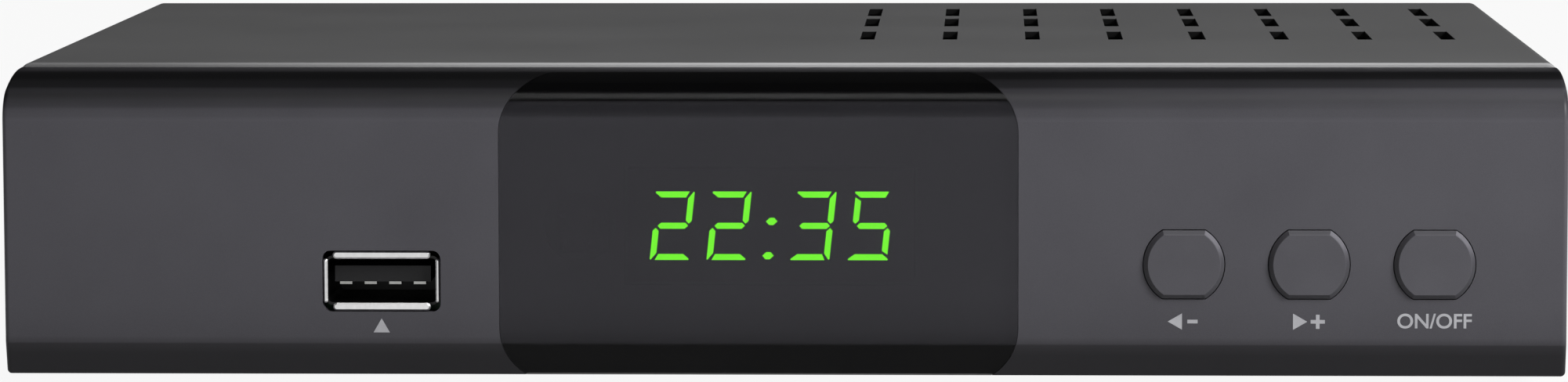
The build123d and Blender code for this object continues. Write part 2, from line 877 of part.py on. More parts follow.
with BuildPart() as usb_shell:
    with BuildSketch(upright(usb_root_y)):
        usb_outline(usb_sheet)
    extrude(amount=-(usb_length - usb_lip_reach))
    # Four lips around the mouth, ahead of the tube and open at the corners
    with BuildSketch(upright(usb_mouth_y)):
        with Locations((usb_x, usb_z)):
            with GridLocations(1, usb_height + usb_long_lip, 1, 2):
                SlotOverall(usb_width - usb_long_lip_trim, usb_long_lip)
            with GridLocations(usb_width + usb_side_lip, 1, 2, 1):
                SlotOverall(usb_height, usb_side_lip, rotation=90)
    extrude(amount=-usb_lip_length)
    lip_faces = usb_shell.faces().filter_by(Axis.Y).group_by(Axis.Y)[0]
    chamfer(lip_faces.edges(), usb_lip_bevel)
    with BuildSketch(upright(usb_mouth_y)):
        usb_outline(0)
    extrude(amount=-(usb_length - usb_sheet), mode=Mode.SUBTRACT)
usb_shell.part.label = "usb_shell"
export_step(usb_shell.part, "parts/usb_shell.step")

with BuildPart() as usb_tongue:
    with BuildSketch(upright(usb_back_y)):
        with Locations((usb_x, usb_tongue_z)):
            Rectangle(usb_tongue_width, usb_tongue_thickness, align=(Align.CENTER, Align.MIN))
    extrude(amount=usb_length - usb_sheet - usb_tongue_recess)
usb_tongue.part.label = "usb_tongue"
export_step(usb_tongue.part, "parts/usb_tongue.step")

with BuildPart() as usb_contacts:
    with BuildSketch(upright(usb_back_y)):
        with Locations((usb_x, usb_tongue_z - usb_contact_thickness / 2)):
            with GridLocations(usb_contact_pitch, 1, 4, 1):
                Rectangle(usb_contact_width, usb_contact_thickness)
    extrude(amount=usb_length - usb_sheet - usb_tongue_recess)
usb_contacts.part.label = "usb_contacts"
export_step(usb_contacts.part, "parts/usb_contacts.step")

# Main board and what it carries

with BuildPart() as main_board:
    with BuildSketch(Plane.XY.offset(board_under_z)):
        with Locations((0, board_front_y)):
            Rectangle(2 * board_half, board_rear_y - board_front_y, align=(Align.CENTER, Align.MIN))
        with Locations((usb_x, front_y + tab_front)):
            Rectangle(2 * tab_side, board_front - tab_front, align=(Align.CENTER, Align.MIN))
        with Locations(*standoff_places):
            Circle(screw_radius + screw_hole_gap, mode=Mode.SUBTRACT)
    extrude(amount=board_thickness)
main_board.part.label = "main_board"
export_step(main_board.part, "parts/main_board.step")

with BuildPart() as board_standoffs:
    with BuildSketch(Plane.XY.offset(floor_z)):
        with Locations(*standoff_places):
            RegularPolygon(standoff_radius, 6)
            Circle(screw_radius + seat, mode=Mode.SUBTRACT)
    extrude(amount=board_under_z - floor_z)
board_standoffs.part.label = "board_standoffs"
export_step(board_standoffs.part, "parts/board_standoffs.step")

with BuildPart() as main_board_screws:
    with BuildSketch(Plane.XY.offset(board_top_z)):
        with Locations(*standoff_places):
            Circle(screw_head_radius)
    extrude(amount=screw_head_height)
    with BuildSketch(Plane.XY.offset(board_top_z)):
        with Locations(*standoff_places):
            Circle(screw_radius)
    extrude(amount=-(board_thickness + screw_grip))
main_board_screws.part.label = "main_board_screws"
export_step(main_board_screws.part, "parts/main_board_screws.step")

with BuildPart() as tuner_can:
    with BuildSketch(Plane.XY.offset(board_top_z)):
        with Locations((can_x, can_rear_y)):
            Rectangle(can_width, can_depth, align=(Align.CENTER, Align.MAX))
    extrude(amount=can_height)
    under = tuner_can.faces().sort_by(Axis.Z)[0]
    offset(amount=-can_sheet, openings=under, mode=Mode.REPLACE)
    lid = tuner_can.faces().sort_by(Axis.Z)[-1]
    with BuildSketch(lid):
        Rectangle(can_width - 2 * can_lid_rim, can_depth - 2 * can_lid_rim)
    extrude(amount=can_lid_step)
tuner_can.part.label = "tuner_can"
export_step(tuner_can.part, "parts/tuner_can.step")

with BuildPart() as processor:
    with BuildSketch(Plane.XY.offset(board_top_z)):
        with Locations(on_board(processor_place)):
            Rectangle(processor_size, processor_size)
    extrude(amount=processor_thickness)
processor.part.label = "processor"
export_step(processor.part, "parts/processor.step")

with BuildPart() as heat_sink:
    sink_z = board_top_z + processor_thickness
    with BuildSketch(Plane.XY.offset(sink_z)):
        with Locations(on_board(processor_place)):
            Rectangle(sink_size, sink_size)
    extrude(amount=sink_base)
    with BuildSketch(Plane.XY.offset(sink_z + sink_base)):
        with Locations(on_board(processor_place)):
            with GridLocations((sink_size - sink_fin_thickness) / (sink_fins - 1), 1, sink_fins, 1):
                Rectangle(sink_fin_thickness, sink_size)
    extrude(amount=sink_height - sink_base)
heat_sink.part.label = "heat_sink"
export_step(heat_sink.part, "parts/heat_sink.step")

with BuildPart() as memory_chips:
    with BuildSketch(Plane.XY.offset(board_top_z)):
        with Locations(*[on_board(place) for place in memory_places]):
            Rectangle(memory_size[0], memory_size[1])
    extrude(amount=memory_size[2])
memory_chips.part.label = "memory_chips"
export_step(memory_chips.part, "parts/memory_chips.step")

with BuildPart() as power_inductors:
    with BuildSketch(Plane.XY.offset(board_top_z)):
        with Locations(*[on_board(place) for place in inductor_places]):
            RectangleRounded(inductor_size[0], inductor_size[1], inductor_corner)
    extrude(amount=inductor_size[2])
power_inductors.part.label = "power_inductors"
export_step(power_inductors.part, "parts/power_inductors.step")

with BuildPart() as capacitors:
    with BuildSketch(Plane.XY.offset(board_top_z)):
        with Locations(*[on_board(place) for place in capacitor_places]):
            Circle(capacitor_radius)
    extrude(amount=capacitor_height)
    chamfer(capacitors.faces().group_by(Axis.Z)[-1].edges(), capacitor_bevel)
capacitors.part.label = "capacitors"
export_step(capacitors.part, "parts/capacitors.step")

with BuildPart() as crystal:
    with BuildSketch(Plane.XY.offset(board_top_z)):
        with Locations(on_board(crystal_place)):
            SlotOverall(crystal_size[0], crystal_size[1])
    extrude(amount=crystal_size[2])
crystal.part.label = "crystal"
export_step(crystal.part, "parts/crystal.step")

# Aerial input and output on the tuner can


def round_socket(x, z, y, outer, inner, end):
    """A round sleeve along the depth, from y to end."""
    with BuildSketch(upright(y)) as ring:
        with Locations((x, z)):
            Circle(outer)
            if inner:
                Circle(inner, mode=Mode.SUBTRACT)
    extrude(ring.sketch, amount=y - end)


with BuildPart() as aerial_socket:
    inner = aerial_bore_radius
    round_socket(aerial_x, aerial_z, can_rear_y, aerial_flange_radius, inner, can_rear_y + aerial_flange)
    round_socket(aerial_x, aerial_z, can_rear_y, collar_radius, inner, socket_end_y)
    chamfer(aerial_socket.faces().sort_by(Axis.Y)[-1].edges(), rim_bevel)
aerial_socket.part.label = "aerial_socket"
export_step(aerial_socket.part, "parts/aerial_socket.step")

with BuildPart() as aerial_insulator:
    end = can_rear_y + insulator_length
    round_socket(aerial_x, aerial_z, can_rear_y, aerial_bore_radius - seat, aerial_contact_radius + seat, end)
aerial_insulator.part.label = "aerial_insulator"
export_step(aerial_insulator.part, "parts/aerial_insulator.step")

with BuildPart() as aerial_contact:
    end = socket_end_y - aerial_contact_recess
    round_socket(aerial_x, aerial_z, can_rear_y, aerial_contact_radius, 0, end)
    with BuildSketch(upright(end)):
        with Locations((aerial_x, aerial_z)):
            Circle(aerial_contact_bore)
    extrude(amount=aerial_contact_depth, mode=Mode.SUBTRACT)
aerial_contact.part.label = "aerial_contact"
export_step(aerial_contact.part, "parts/aerial_contact.step")

with BuildPart() as loop_sleeve:
    inner = loop_radius - loop_wall
    round_socket(loop_x, aerial_z, can_rear_y, aerial_flange_radius, inner, can_rear_y + aerial_flange)
    round_socket(loop_x, aerial_z, can_rear_y, collar_radius, inner, wall_y + collar_proud)
    round_socket(loop_x, aerial_z, can_rear_y, loop_radius, inner, socket_end_y)
    chamfer(loop_sleeve.faces().sort_by(Axis.Y)[-1].edges(), rim_bevel)
loop_sleeve.part.label = "loop_sleeve"
export_step(loop_sleeve.part, "parts/loop_sleeve.step")

with BuildPart() as loop_insulator:
    end = can_rear_y + insulator_length
    round_socket(loop_x, aerial_z, can_rear_y, loop_radius - loop_wall - seat, loop_pin_radius + seat, end)
loop_insulator.part.label = "loop_insulator"
export_step(loop_insulator.part, "parts/loop_insulator.step")

with BuildPart() as loop_pin:
    round_socket(loop_x, aerial_z, can_rear_y, loop_pin_radius, 0, socket_end_y - loop_pin_recess)
    chamfer(loop_pin.faces().sort_by(Axis.Y)[-1].edges(), loop_pin_bevel)
loop_pin.part.label = "loop_pin"
export_step(loop_pin.part, "parts/loop_pin.step")

# Picture, sound and power sockets


def scart_ring(inset):
    """Outline of the contact block, with one end cut on a slant, moved inwards by inset."""
    half, tall = scart_ring_width / 2 - inset, scart_ring_tall / 2 - inset
    with BuildLine() as outline:
        Polyline(
            (-half, -tall), (half - scart_ring_slant, -tall), (half, -tall + scart_ring_slant),
            (half, tall), (-half, tall), close=True,
        )
    with BuildSketch(mode=Mode.PRIVATE) as ring:
        make_face(outline.edges())
    return ring.sketch


scart_end_y = wall_y + scart_proud

with BuildPart() as scart_socket:
    with BuildSketch(upright(scart_end_y)):
        with Locations((scart_x, scart_z)):
            RectangleRounded(scart_width, scart_tall, scart_corner)
    extrude(amount=scart_depth)
    with BuildSketch(upright(scart_end_y)):
        with Locations((scart_x, scart_z)):
            add(scart_ring(0))
    extrude(amount=scart_groove_depth, mode=Mode.SUBTRACT)
scart_socket.part.label = "scart_socket"
export_step(scart_socket.part, "parts/scart_socket.step")

with BuildPart() as scart_insert:
    with BuildSketch(upright(scart_end_y)):
        with Locations((scart_x, scart_z)):
            add(scart_ring(scart_groove))
    extrude(amount=scart_groove_depth)
    with BuildSketch(upright(scart_end_y)):
        for side in (-1, 1):
            with Locations((scart_x + side * scart_slot_pitch / 4, scart_z + side * scart_row_pitch / 2)):
                with GridLocations(scart_slot_pitch, 1, scart_slots, 1):
                    Rectangle(scart_slot_width, scart_slot_tall)
    extrude(amount=scart_slot_depth, mode=Mode.SUBTRACT)
scart_insert.part.label = "scart_insert"
export_step(scart_insert.part, "parts/scart_insert.step")


def hdmi_outline(inset):
    """Outline of the HDMI shell, narrower at the bottom, moved inwards by inset."""
    half, tall = hdmi_width / 2 - inset, hdmi_tall / 2 - inset
    with BuildLine() as outline:
        Polyline(
            (-half + hdmi_shoulder, -tall), (half - hdmi_shoulder, -tall), (half, -tall + hdmi_shoulder),
            (half, tall), (-half, tall), (-half, -tall + hdmi_shoulder), close=True,
        )
    with BuildSketch(mode=Mode.PRIVATE) as shell:
        make_face(outline.edges())
    return shell.sketch


hdmi_end_y = wall_y + hdmi_proud
hdmi_back_y = hdmi_end_y - hdmi_depth + hdmi_sheet

with BuildPart() as hdmi_shell:
    with BuildSketch(upright(hdmi_end_y)):
        with Locations((hdmi_x, hdmi_z)):
            add(hdmi_outline(0))
    extrude(amount=hdmi_depth)
    with BuildSketch(upright(hdmi_end_y)):
        with Locations((hdmi_x, hdmi_z)):
            add(hdmi_outline(hdmi_sheet))
    extrude(amount=hdmi_depth - hdmi_sheet, mode=Mode.SUBTRACT)
hdmi_shell.part.label = "hdmi_shell"
export_step(hdmi_shell.part, "parts/hdmi_shell.step")

with BuildPart() as hdmi_tongue:
    with BuildSketch(upright(hdmi_back_y)):
        with Locations((hdmi_x, hdmi_z)):
            Rectangle(hdmi_tongue_width, hdmi_tongue_thickness)
    extrude(amount=-(hdmi_depth - hdmi_sheet - hdmi_tongue_recess))
hdmi_tongue.part.label = "hdmi_tongue"
export_step(hdmi_tongue.part, "parts/hdmi_tongue.step")

coaxial_face_y = wall_inner_y - panel_gap
coaxial_boss_y = wall_y + collar_proud
coaxial_end_y = wall_y + coaxial_reach

with BuildPart() as coaxial_body:
    with BuildSketch(upright(coaxial_face_y)):
        with Locations((coaxial_x, board_top_z)):
            Rectangle(coaxial_size, coaxial_height + coaxial_size / 2, align=(Align.CENTER, Align.MIN))
    extrude(amount=coaxial_depth)
    round_socket(coaxial_x, coaxial_z, coaxial_face_y, coaxial_size / 2, 0, coaxial_boss_y)
coaxial_body.part.label = "coaxial_body"
export_step(coaxial_body.part, "parts/coaxial_body.step")

with BuildPart() as coaxial_sleeve:
    inner = coaxial_radius - coaxial_wall
    round_socket(coaxial_x, coaxial_z, coaxial_boss_y, coaxial_radius, inner, coaxial_end_y)
    chamfer(coaxial_sleeve.faces().sort_by(Axis.Y)[-1].edges(), rim_bevel)
coaxial_sleeve.part.label = "coaxial_sleeve"
export_step(coaxial_sleeve.part, "parts/coaxial_sleeve.step")

with BuildPart() as coaxial_insulator:
    outer = coaxial_radius - coaxial_wall - seat
    round_socket(coaxial_x, coaxial_z, coaxial_boss_y, outer, coaxial_bore, coaxial_end_y - coaxial_recess)
coaxial_insulator.part.label = "coaxial_insulator"
export_step(coaxial_insulator.part, "parts/coaxial_insulator.step")

dc_face_y = wall_y + dc_proud
dc_bore_end_y = dc_face_y - dc_bore_depth

with BuildPart() as dc_jack:
    with BuildSketch(upright(dc_face_y)):
        with Locations((dc_x, board_top_z)):
            Rectangle(dc_width, dc_tall, align=(Align.CENTER, Align.MIN))
    extrude(amount=dc_depth)
    with BuildSketch(upright(dc_face_y)):
        with Locations((dc_x, dc_z)):
            Circle(dc_bore_radius)
    extrude(amount=dc_bore_depth, mode=Mode.SUBTRACT)
    with BuildSketch(upright(dc_bore_end_y)):
        with Locations((dc_x, dc_z)):
            Circle(dc_pin_root_radius + seat)
    extrude(amount=dc_pin_root, mode=Mode.SUBTRACT)
dc_jack.part.label = "dc_jack"
export_step(dc_jack.part, "parts/dc_jack.step")

with BuildPart() as dc_pin:
    round_socket(dc_x, dc_z, dc_bore_end_y - dc_pin_root, dc_pin_root_radius, 0, dc_bore_end_y)
    round_socket(dc_x, dc_z, dc_bore_end_y, dc_pin_radius, 0, dc_face_y - dc_pin_recess)
    chamfer(dc_pin.faces().sort_by(Axis.Y)[-1].edges(), rim_bevel)
dc_pin.part.label = "dc_pin"
export_step(dc_pin.part, "parts/dc_pin.step")
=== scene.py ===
import math

import bpy
from mathutils import Euler, Matrix, Vector


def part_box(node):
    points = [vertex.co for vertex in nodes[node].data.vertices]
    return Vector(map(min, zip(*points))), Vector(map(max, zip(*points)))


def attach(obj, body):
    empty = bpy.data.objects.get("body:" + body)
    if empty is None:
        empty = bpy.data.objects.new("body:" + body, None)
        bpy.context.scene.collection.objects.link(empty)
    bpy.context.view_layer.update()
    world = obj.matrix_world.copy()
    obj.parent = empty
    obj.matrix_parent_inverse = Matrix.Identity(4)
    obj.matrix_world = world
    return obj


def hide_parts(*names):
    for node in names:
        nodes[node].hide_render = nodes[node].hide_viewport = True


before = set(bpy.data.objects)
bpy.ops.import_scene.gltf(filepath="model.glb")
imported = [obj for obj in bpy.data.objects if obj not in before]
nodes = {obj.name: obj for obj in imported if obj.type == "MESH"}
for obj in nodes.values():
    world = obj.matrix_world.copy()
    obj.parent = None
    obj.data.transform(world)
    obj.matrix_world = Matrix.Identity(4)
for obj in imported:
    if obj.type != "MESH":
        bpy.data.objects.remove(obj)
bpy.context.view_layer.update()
mm = 0.001
facesAlong = 0.9  # a face looks along an axis if its normal leans this far that way
noiseSpread = (0.3, 0.7)  # most of a noise lies between these
white = (1.0, 1.0, 1.0)
bpy.context.scene.view_settings.view_transform = "Standard"
bpy.ops.object.select_all(action="DESELECT")
print("frame loaded:", len(nodes), "nodes")


def centreOf(node):
    low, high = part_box(node)
    return (low + high) / 2


# Helpers for materials

def addNode(tree, kind, inputs=None, **settings):
    node = tree.nodes.new(kind)
    for key, value in settings.items():
        setattr(node, key, value)
    for key, value in (inputs or {}).items():
        if isinstance(value, bpy.types.NodeSocket):
            tree.links.new(value, node.inputs[key])
        else:
            node.inputs[key].default_value = value
    return node


def newFinish(name):
    material = bpy.data.materials.new(name)
    material.use_nodes = True
    return material, material.node_tree, material.node_tree.nodes["Principled BSDF"]


def surfacePlace(tree, stretch=(1, 1, 1)):
    coords = addNode(tree, "ShaderNodeTexCoord")
    mapping = addNode(tree, "ShaderNodeMapping", {"Vector": coords.outputs["Object"], "Scale": stretch})
    return mapping.outputs["Vector"]


def placeAlong(tree, axis):
    return addNode(tree, "ShaderNodeSeparateXYZ", {"Vector": surfacePlace(tree)}).outputs[axis]


def noiseAt(tree, place, grainSize, detail=2.0):
    return addNode(tree, "ShaderNodeTexNoise", {
        "Vector": place, "Scale": 1 / grainSize, "Detail": detail,
    }).outputs["Fac"]


def mathOf(tree, how, first, second=0.0):
    return addNode(tree, "ShaderNodeMath", {0: first, 1: second}, operation=how).outputs[0]


def rangeOf(tree, source, low, high, fromLow=noiseSpread[0], fromHigh=noiseSpread[1]):
    return addNode(tree, "ShaderNodeMapRange", {
        "Value": source, "From Min": fromLow, "From Max": fromHigh, "To Min": low, "To Max": high,
    }).outputs["Result"]


def opaque(colour):
    return (*colour, 1) if isinstance(colour, tuple) else colour


# A colour mix has its factor at socket 0, its colours at 6 and 7, and its result at 2
def blendColours(tree, factor, first, second, how="MIX"):
    mix = addNode(tree, "ShaderNodeMix", data_type="RGBA", blend_type=how, inputs={
        0: factor, 6: opaque(first), 7: opaque(second),
    })
    return mix.outputs[2]


def rampOf(tree, factor, stops):
    ramp = addNode(tree, "ShaderNodeValToRGB", {"Fac": factor})
    band = ramp.color_ramp.elements
    band.remove(band[1])
    band[0].position = stops[0][0]
    band[0].color = (stops[0][1],) * 3 + (1,)
    for position, value in stops[1:]:
        band.new(position).color = (value, value, value, 1)
    return ramp.outputs["Color"]


# Painted light and shade by height: each stop is millimetres above the low end, and a share of the colour
def paintedLightByHeight(tree, low, high, stops):
    level = rangeOf(tree, placeAlong(tree, "Z"), 0.0, 1.0, low, high)
    return rampOf(tree, level, [(rise * mm / (high - low), shade) for rise, shade in stops])


def overBase(tree, shader, factor, colour, how="MIX"):
    plain = shader.inputs["Base Color"].links[0].from_socket
    tree.links.new(blendColours(tree, factor, plain, colour, how), shader.inputs["Base Color"])


def shadeBase(tree, shader, shades):
    overBase(tree, shader, 1.0, shades, "MULTIPLY")


def shadeWhere(tree, shader, factor, shade):
    shadeBase(tree, shader, rampOf(tree, factor, ((0.0, 1.0), (1.0, shade))))


grainDefaults = {
    "stretch": (1, 1, 1), "mottleDetail": 3.0, "spread": (0.7, 1.3), "relief": 0.02 * mm,
    "metallic": 0.0, "specular": 0.5,
}


# A plain mould, paint or metal finish: two near colours mixed by a grain and a wider mottle
def grainedFinish(name, choices):
    look = dict(grainDefaults, **choices)
    material, tree, shader = newFinish(name)
    grain = noiseAt(tree, surfacePlace(tree, look["stretch"]), look["grain"])
    mottle = noiseAt(tree, surfacePlace(tree), look["mottle"], look["mottleDetail"])
    share = mathOf(tree, "ADD", grain, mottle)
    factor = rangeOf(tree, share, 0.0, 1.0, *look["spread"])
    tree.links.new(blendColours(tree, factor, look["dark"], look["light"]), shader.inputs["Base Color"])
    tree.links.new(rangeOf(tree, share, *look["rough"], *look["spread"]), shader.inputs["Roughness"])
    bump = addNode(tree, "ShaderNodeBump", {
        "Height": grain, "Strength": look["bump"], "Distance": look["relief"],
    })
    tree.links.new(bump.outputs["Normal"], shader.inputs["Normal"])
    shader.inputs["Metallic"].default_value = look["metallic"]
    shader.inputs["Specular IOR Level"].default_value = look["specular"]
    return material, tree, shader


def dress(material, *names):
    for name in names:
        slots = nodes[name].data.materials
        slots.clear()
        slots.append(material)


# Front panel: satin dark plastic, with painted shade over the brow and the chin and a painted highlight on
# the brow towards the right end
panelLook = {
    "dark": (0.0590, 0.0573, 0.0654), "light": (0.0703, 0.0686, 0.0777),
    "grain": 0.11 * mm, "mottle": 14 * mm, "rough": (0.36, 0.44), "bump": 0.06, "specular": 0.15,
    "paintedShadeBands": (
        (2.4, 0.195), (3.55, 0.32), (3.8, 0.54), (4.5, 0.8), (8, 0.92), (14, 1.0), (29.6, 1.0), (30.0, 0.84),
        (30.8, 0.76), (31.1, 0.52), (31.7, 0.38), (32.3, 0.15), (32.9, 0.26), (33.2, 0.13), (33.8, 0.1),
        (34.0, 0.05), (34.5, 0.05), (34.66, 0.3),
    ),
    "paintedHighlightRight": (  # painted highlight, added on the brow towards the right end
        (30.8, 0.0), (31.2, 0.22), (31.7, 0.22), (32.3, 0.42), (33.0, 0.56), (33.2, 0.32), (33.8, 0.28),
        (34.0, 0.06), (34.6, 0.0),
    ),
}
panelPlastic, tree, shader = grainedFinish("panelPlastic", panelLook)
panelLow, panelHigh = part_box("front_panel")
paintedShadeBands = paintedLightByHeight(tree, panelLow.z, panelHigh.z, panelLook["paintedShadeBands"])
paintedHighlightRight = paintedLightByHeight(tree, panelLow.z, panelHigh.z, panelLook["paintedHighlightRight"])
towardsRight = rangeOf(tree, placeAlong(tree, "X"), 0.0, 1.0, 0.0, panelHigh.x)
# Painted shade by height, with a painted highlight added towards the right end
shadeBase(tree, shader, blendColours(tree, towardsRight, paintedShadeBands, paintedHighlightRight, "ADD"))
dress(panelPlastic, "front_panel")

# Button caps: the same plastic, with painted shade on the rim and a painted highlight on it towards the
# upper right
buttonLook = {
    "dark": (0.0595, 0.0578, 0.0659), "light": (0.0708, 0.0691, 0.0782),
    "grain": 0.11 * mm, "mottle": 6 * mm, "rough": (0.36, 0.44), "bump": 0.05, "specular": 0.2,
    "flat": 0.04 * mm, "rim": 0.12 * mm, "litFrom": (0.7, 0.0, 0.714), "lean": 0.7,
    "rimShades": ((0.0, 0.6), (0.5, 0.66), (0.86, 0.72), (0.91, 0.85), (0.95, 1.1), (0.99, 1.7)),
}
buttonPlastic, tree, shader = grainedFinish("buttonPlastic", buttonLook)
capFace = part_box("power_button")[0].y
rimStart, rimEnd = (capFace + buttonLook[key] for key in ("flat", "rim"))
rim = rangeOf(tree, placeAlong(tree, "Y"), 0.0, 1.0, rimStart, rimEnd)
facing = addNode(tree, "ShaderNodeVectorMath", {
    0: addNode(tree, "ShaderNodeNewGeometry").outputs["Normal"], 1: buttonLook["litFrom"],
}, operation="DOT_PRODUCT").outputs["Value"]
facing = rangeOf(tree, facing, 0.0, 1.0, -buttonLook["lean"], buttonLook["lean"])
# Painted highlight on the rim where it faces the upper right, painted shade on the rest of the rim
shadeBase(tree, shader, blendColours(tree, rim, white, rampOf(tree, facing, buttonLook["rimShades"])))
dress(buttonPlastic, "channel_down_button", "channel_up_button", "power_button")

# Smoked window over the display
windowLook = {
    "tint": (0.0338, 0.0330, 0.0383), "haze": (0.0393, 0.0385, 0.0443), "flow": 9 * mm,
    "solid": 0.7, "rough": (0.19, 0.23), "specular": 0.14,
    "paintedShadeBands": (
        (3.55, 0.05), (3.75, 0.5), (5.4, 0.8), (9, 0.97), (29.88, 1.0), (30.03, 0.62), (31.6, 0.5),
        (31.75, 0.04), (34.8, 0.03),
    ),
}
smokedAcrylic, tree, shader = newFinish("smokedAcrylic")
flow = noiseAt(tree, surfacePlace(tree), windowLook["flow"])
tree.links.new(blendColours(tree, flow, windowLook["tint"], windowLook["haze"]), shader.inputs["Base Color"])
# Painted shade over the window's chin and brow
shadeBase(tree, shader, paintedLightByHeight(tree, panelLow.z, panelHigh.z, windowLook["paintedShadeBands"]))
tree.links.new(rangeOf(tree, flow, *windowLook["rough"]), shader.inputs["Roughness"])
shader.inputs["Alpha"].default_value = windowLook["solid"]
shader.inputs["Specular IOR Level"].default_value = windowLook["specular"]
dress(smokedAcrylic, "display_window")

# Segments of the display, lit and unlit
litLook = {
    "glow": (0.18, 1.0, 0.006), "edge": (0.15, 0.92, 0.004), "strength": 10,
    "core": 1.6 * mm, "coreDetail": 1.0, "body": (0.05, 0.12, 0.01), "rough": 0.35,
}
litResin, tree, shader = newFinish("litResin")
core = noiseAt(tree, surfacePlace(tree), litLook["core"], litLook["coreDetail"])
tree.links.new(blendColours(tree, core, litLook["edge"], litLook["glow"]), shader.inputs["Emission Color"])
shader.inputs["Emission Strength"].default_value = litLook["strength"]
shader.inputs["Base Color"].default_value = opaque(litLook["body"])
shader.inputs["Roughness"].default_value = litLook["rough"]
dress(litResin, "display_lit_segments")

unlitLook = {
    "dark": (0.010, 0.011, 0.009), "light": (0.016, 0.017, 0.014), "grain": 0.3 * mm, "mottle": 3 * mm,
    "rough": (0.3, 0.4), "bump": 0.02,
}
dress(grainedFinish("unlitResin", unlitLook)[0], "display_unlit_segments")
print("front finishes ready")

# Steel case: fine powder coat
coatLook = {
    "dark": (0.096, 0.096, 0.097), "light": (0.114, 0.114, 0.115), "grain": 0.16 * mm, "mottle": 30 * mm,
    "rough": (0.50, 0.55), "bump": 0.22, "specular": 0.07,
}
dress(grainedFinish("powderCoat", coatLook)[0], "base_chassis")

# Cover: the same coat, with a lighter bare sheet edge along the front carrying a painted highlight brightest
# near the middle, and painted shade on the walls of the vent slots
coverLook = dict(
    coatLook, edge=0.45 * mm, edgeStart=0.3, edgeBareAndHighlight=(0.46, 0.46, 0.465),
    paintedEdgeHighlight=((0.0, 0.12), (0.08, 0.16), (0.3, 0.62), (0.5, 0.86), (0.67, 0.88), (0.85, 0.68), (1.0, 0.5)),
    slotShade=0.05, slotTop=(0.10 * mm, 0.05 * mm), slotSide=(86 * mm, 86.5 * mm),
    slotFront=(2 * mm, 3 * mm), slotRear=(6 * mm, 5 * mm),
)
coverCoat, tree, shader = grainedFinish("coverCoat", coverLook)
coverLow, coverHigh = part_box("top_cover")
placeX, placeY, placeZ = (placeAlong(tree, axis) for axis in "XYZ")
edgeStart, edgeEnd = (coverLow.y + share * coverLook["edge"] for share in (coverLook["edgeStart"], 1))
atEdge = rangeOf(tree, placeY, 1.0, 0.0, edgeStart, edgeEnd)
# Painted highlight along the front edge, brightest near the middle, over a lighter bare edge
highlightAlongEdge = rampOf(tree, rangeOf(tree, placeX, 0.0, 1.0, coverLow.x, coverHigh.x), coverLook["paintedEdgeHighlight"])
overBase(tree, shader, mathOf(tree, "MULTIPLY", atEdge, highlightAlongEdge), coverLook["edgeBareAndHighlight"])
# Painted shade on the slots' walls, which lie within the sheet under the top face, away from the bends and
# the rear flange
slotShadeMask = rangeOf(tree, placeZ, 1.0, 0.0, *(coverHigh.z - depth for depth in coverLook["slotTop"]))
for limit in (
    rangeOf(tree, mathOf(tree, "ABSOLUTE", placeX), 1.0, 0.0, *coverLook["slotSide"]),
    rangeOf(tree, placeY, 0.0, 1.0, *(coverLow.y + depth for depth in coverLook["slotFront"])),
    rangeOf(tree, placeY, 1.0, 0.0, *(coverHigh.y - depth for depth in coverLook["slotRear"])),
):
    slotShadeMask = mathOf(tree, "MULTIPLY", slotShadeMask, limit)
# Painted shade on the slots' walls
shadeWhere(tree, shader, slotShadeMask, coverLook["slotShade"])
dress(coverCoat, "top_cover")

# Rubber and metals
rubberLook = {
    "dark": (0.012, 0.012, 0.012), "light": (0.022, 0.022, 0.022), "grain": 0.2 * mm, "mottle": 4 * mm,
    "rough": (0.75, 0.9), "bump": 0.25, "specular": 0.3,
}
footRubber = grainedFinish("footRubber", rubberLook)[0]
dress(footRubber, "rubber_feet")

zincLook = {
    "dark": (0.50, 0.50, 0.49), "light": (0.66, 0.66, 0.65), "grain": 0.25 * mm, "mottle": 2 * mm,
    "rough": (0.24, 0.4), "bump": 0.08, "metallic": 1.0,
}
zincSteel = grainedFinish("zincSteel", zincLook)[0]
dress(zincSteel, "cover_screws", "front_board_screws", "main_board_screws", "board_standoffs")

nickelLook = {
    "dark": (0.48, 0.465, 0.435), "light": (0.57, 0.555, 0.525), "grain": 0.5 * mm, "mottle": 6 * mm,
    "rough": (0.26, 0.36), "bump": 0.03, "metallic": 1.0, "stretch": (1, 0.15, 1),
}
nickelPlate = grainedFinish("nickelPlate", nickelLook)[0]
dress(nickelPlate, "hdmi_shell", "aerial_socket", "loop_sleeve", "coaxial_sleeve")

# The front port's shell: bright lips, with painted shade farther in
portLook = dict(
    nickelLook, dark=(0.66, 0.66, 0.66), light=(0.76, 0.76, 0.76), rough=(0.32, 0.40),
    lips=0.25 * mm, fade=0.35 * mm, inner=0.03,
)
portShell, tree, shader = grainedFinish("portShell", portLook)
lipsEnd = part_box("usb_shell")[0].y + portLook["lips"]
inward = rangeOf(tree, placeAlong(tree, "Y"), 0.0, 1.0, lipsEnd, lipsEnd + portLook["fade"])
# Painted shade inside the shell, darker with depth
shadeWhere(tree, shader, inward, portLook["inner"])
dress(portShell, "usb_shell")

contactLook = dict(nickelLook, dark=(0.30, 0.30, 0.29), light=(0.37, 0.37, 0.36), rough=(0.25, 0.35))
dress(grainedFinish("contactNickel", contactLook)[0], "usb_contacts")

goldLook = {
    "dark": (0.72, 0.50, 0.17), "light": (0.86, 0.65, 0.28), "grain": 0.2 * mm, "mottle": 3 * mm,
    "rough": (0.18, 0.28), "bump": 0.03, "metallic": 1.0,
}
goldFlash = grainedFinish("goldFlash", goldLook)[0]
dress(goldFlash, "aerial_contact", "loop_pin", "dc_pin")

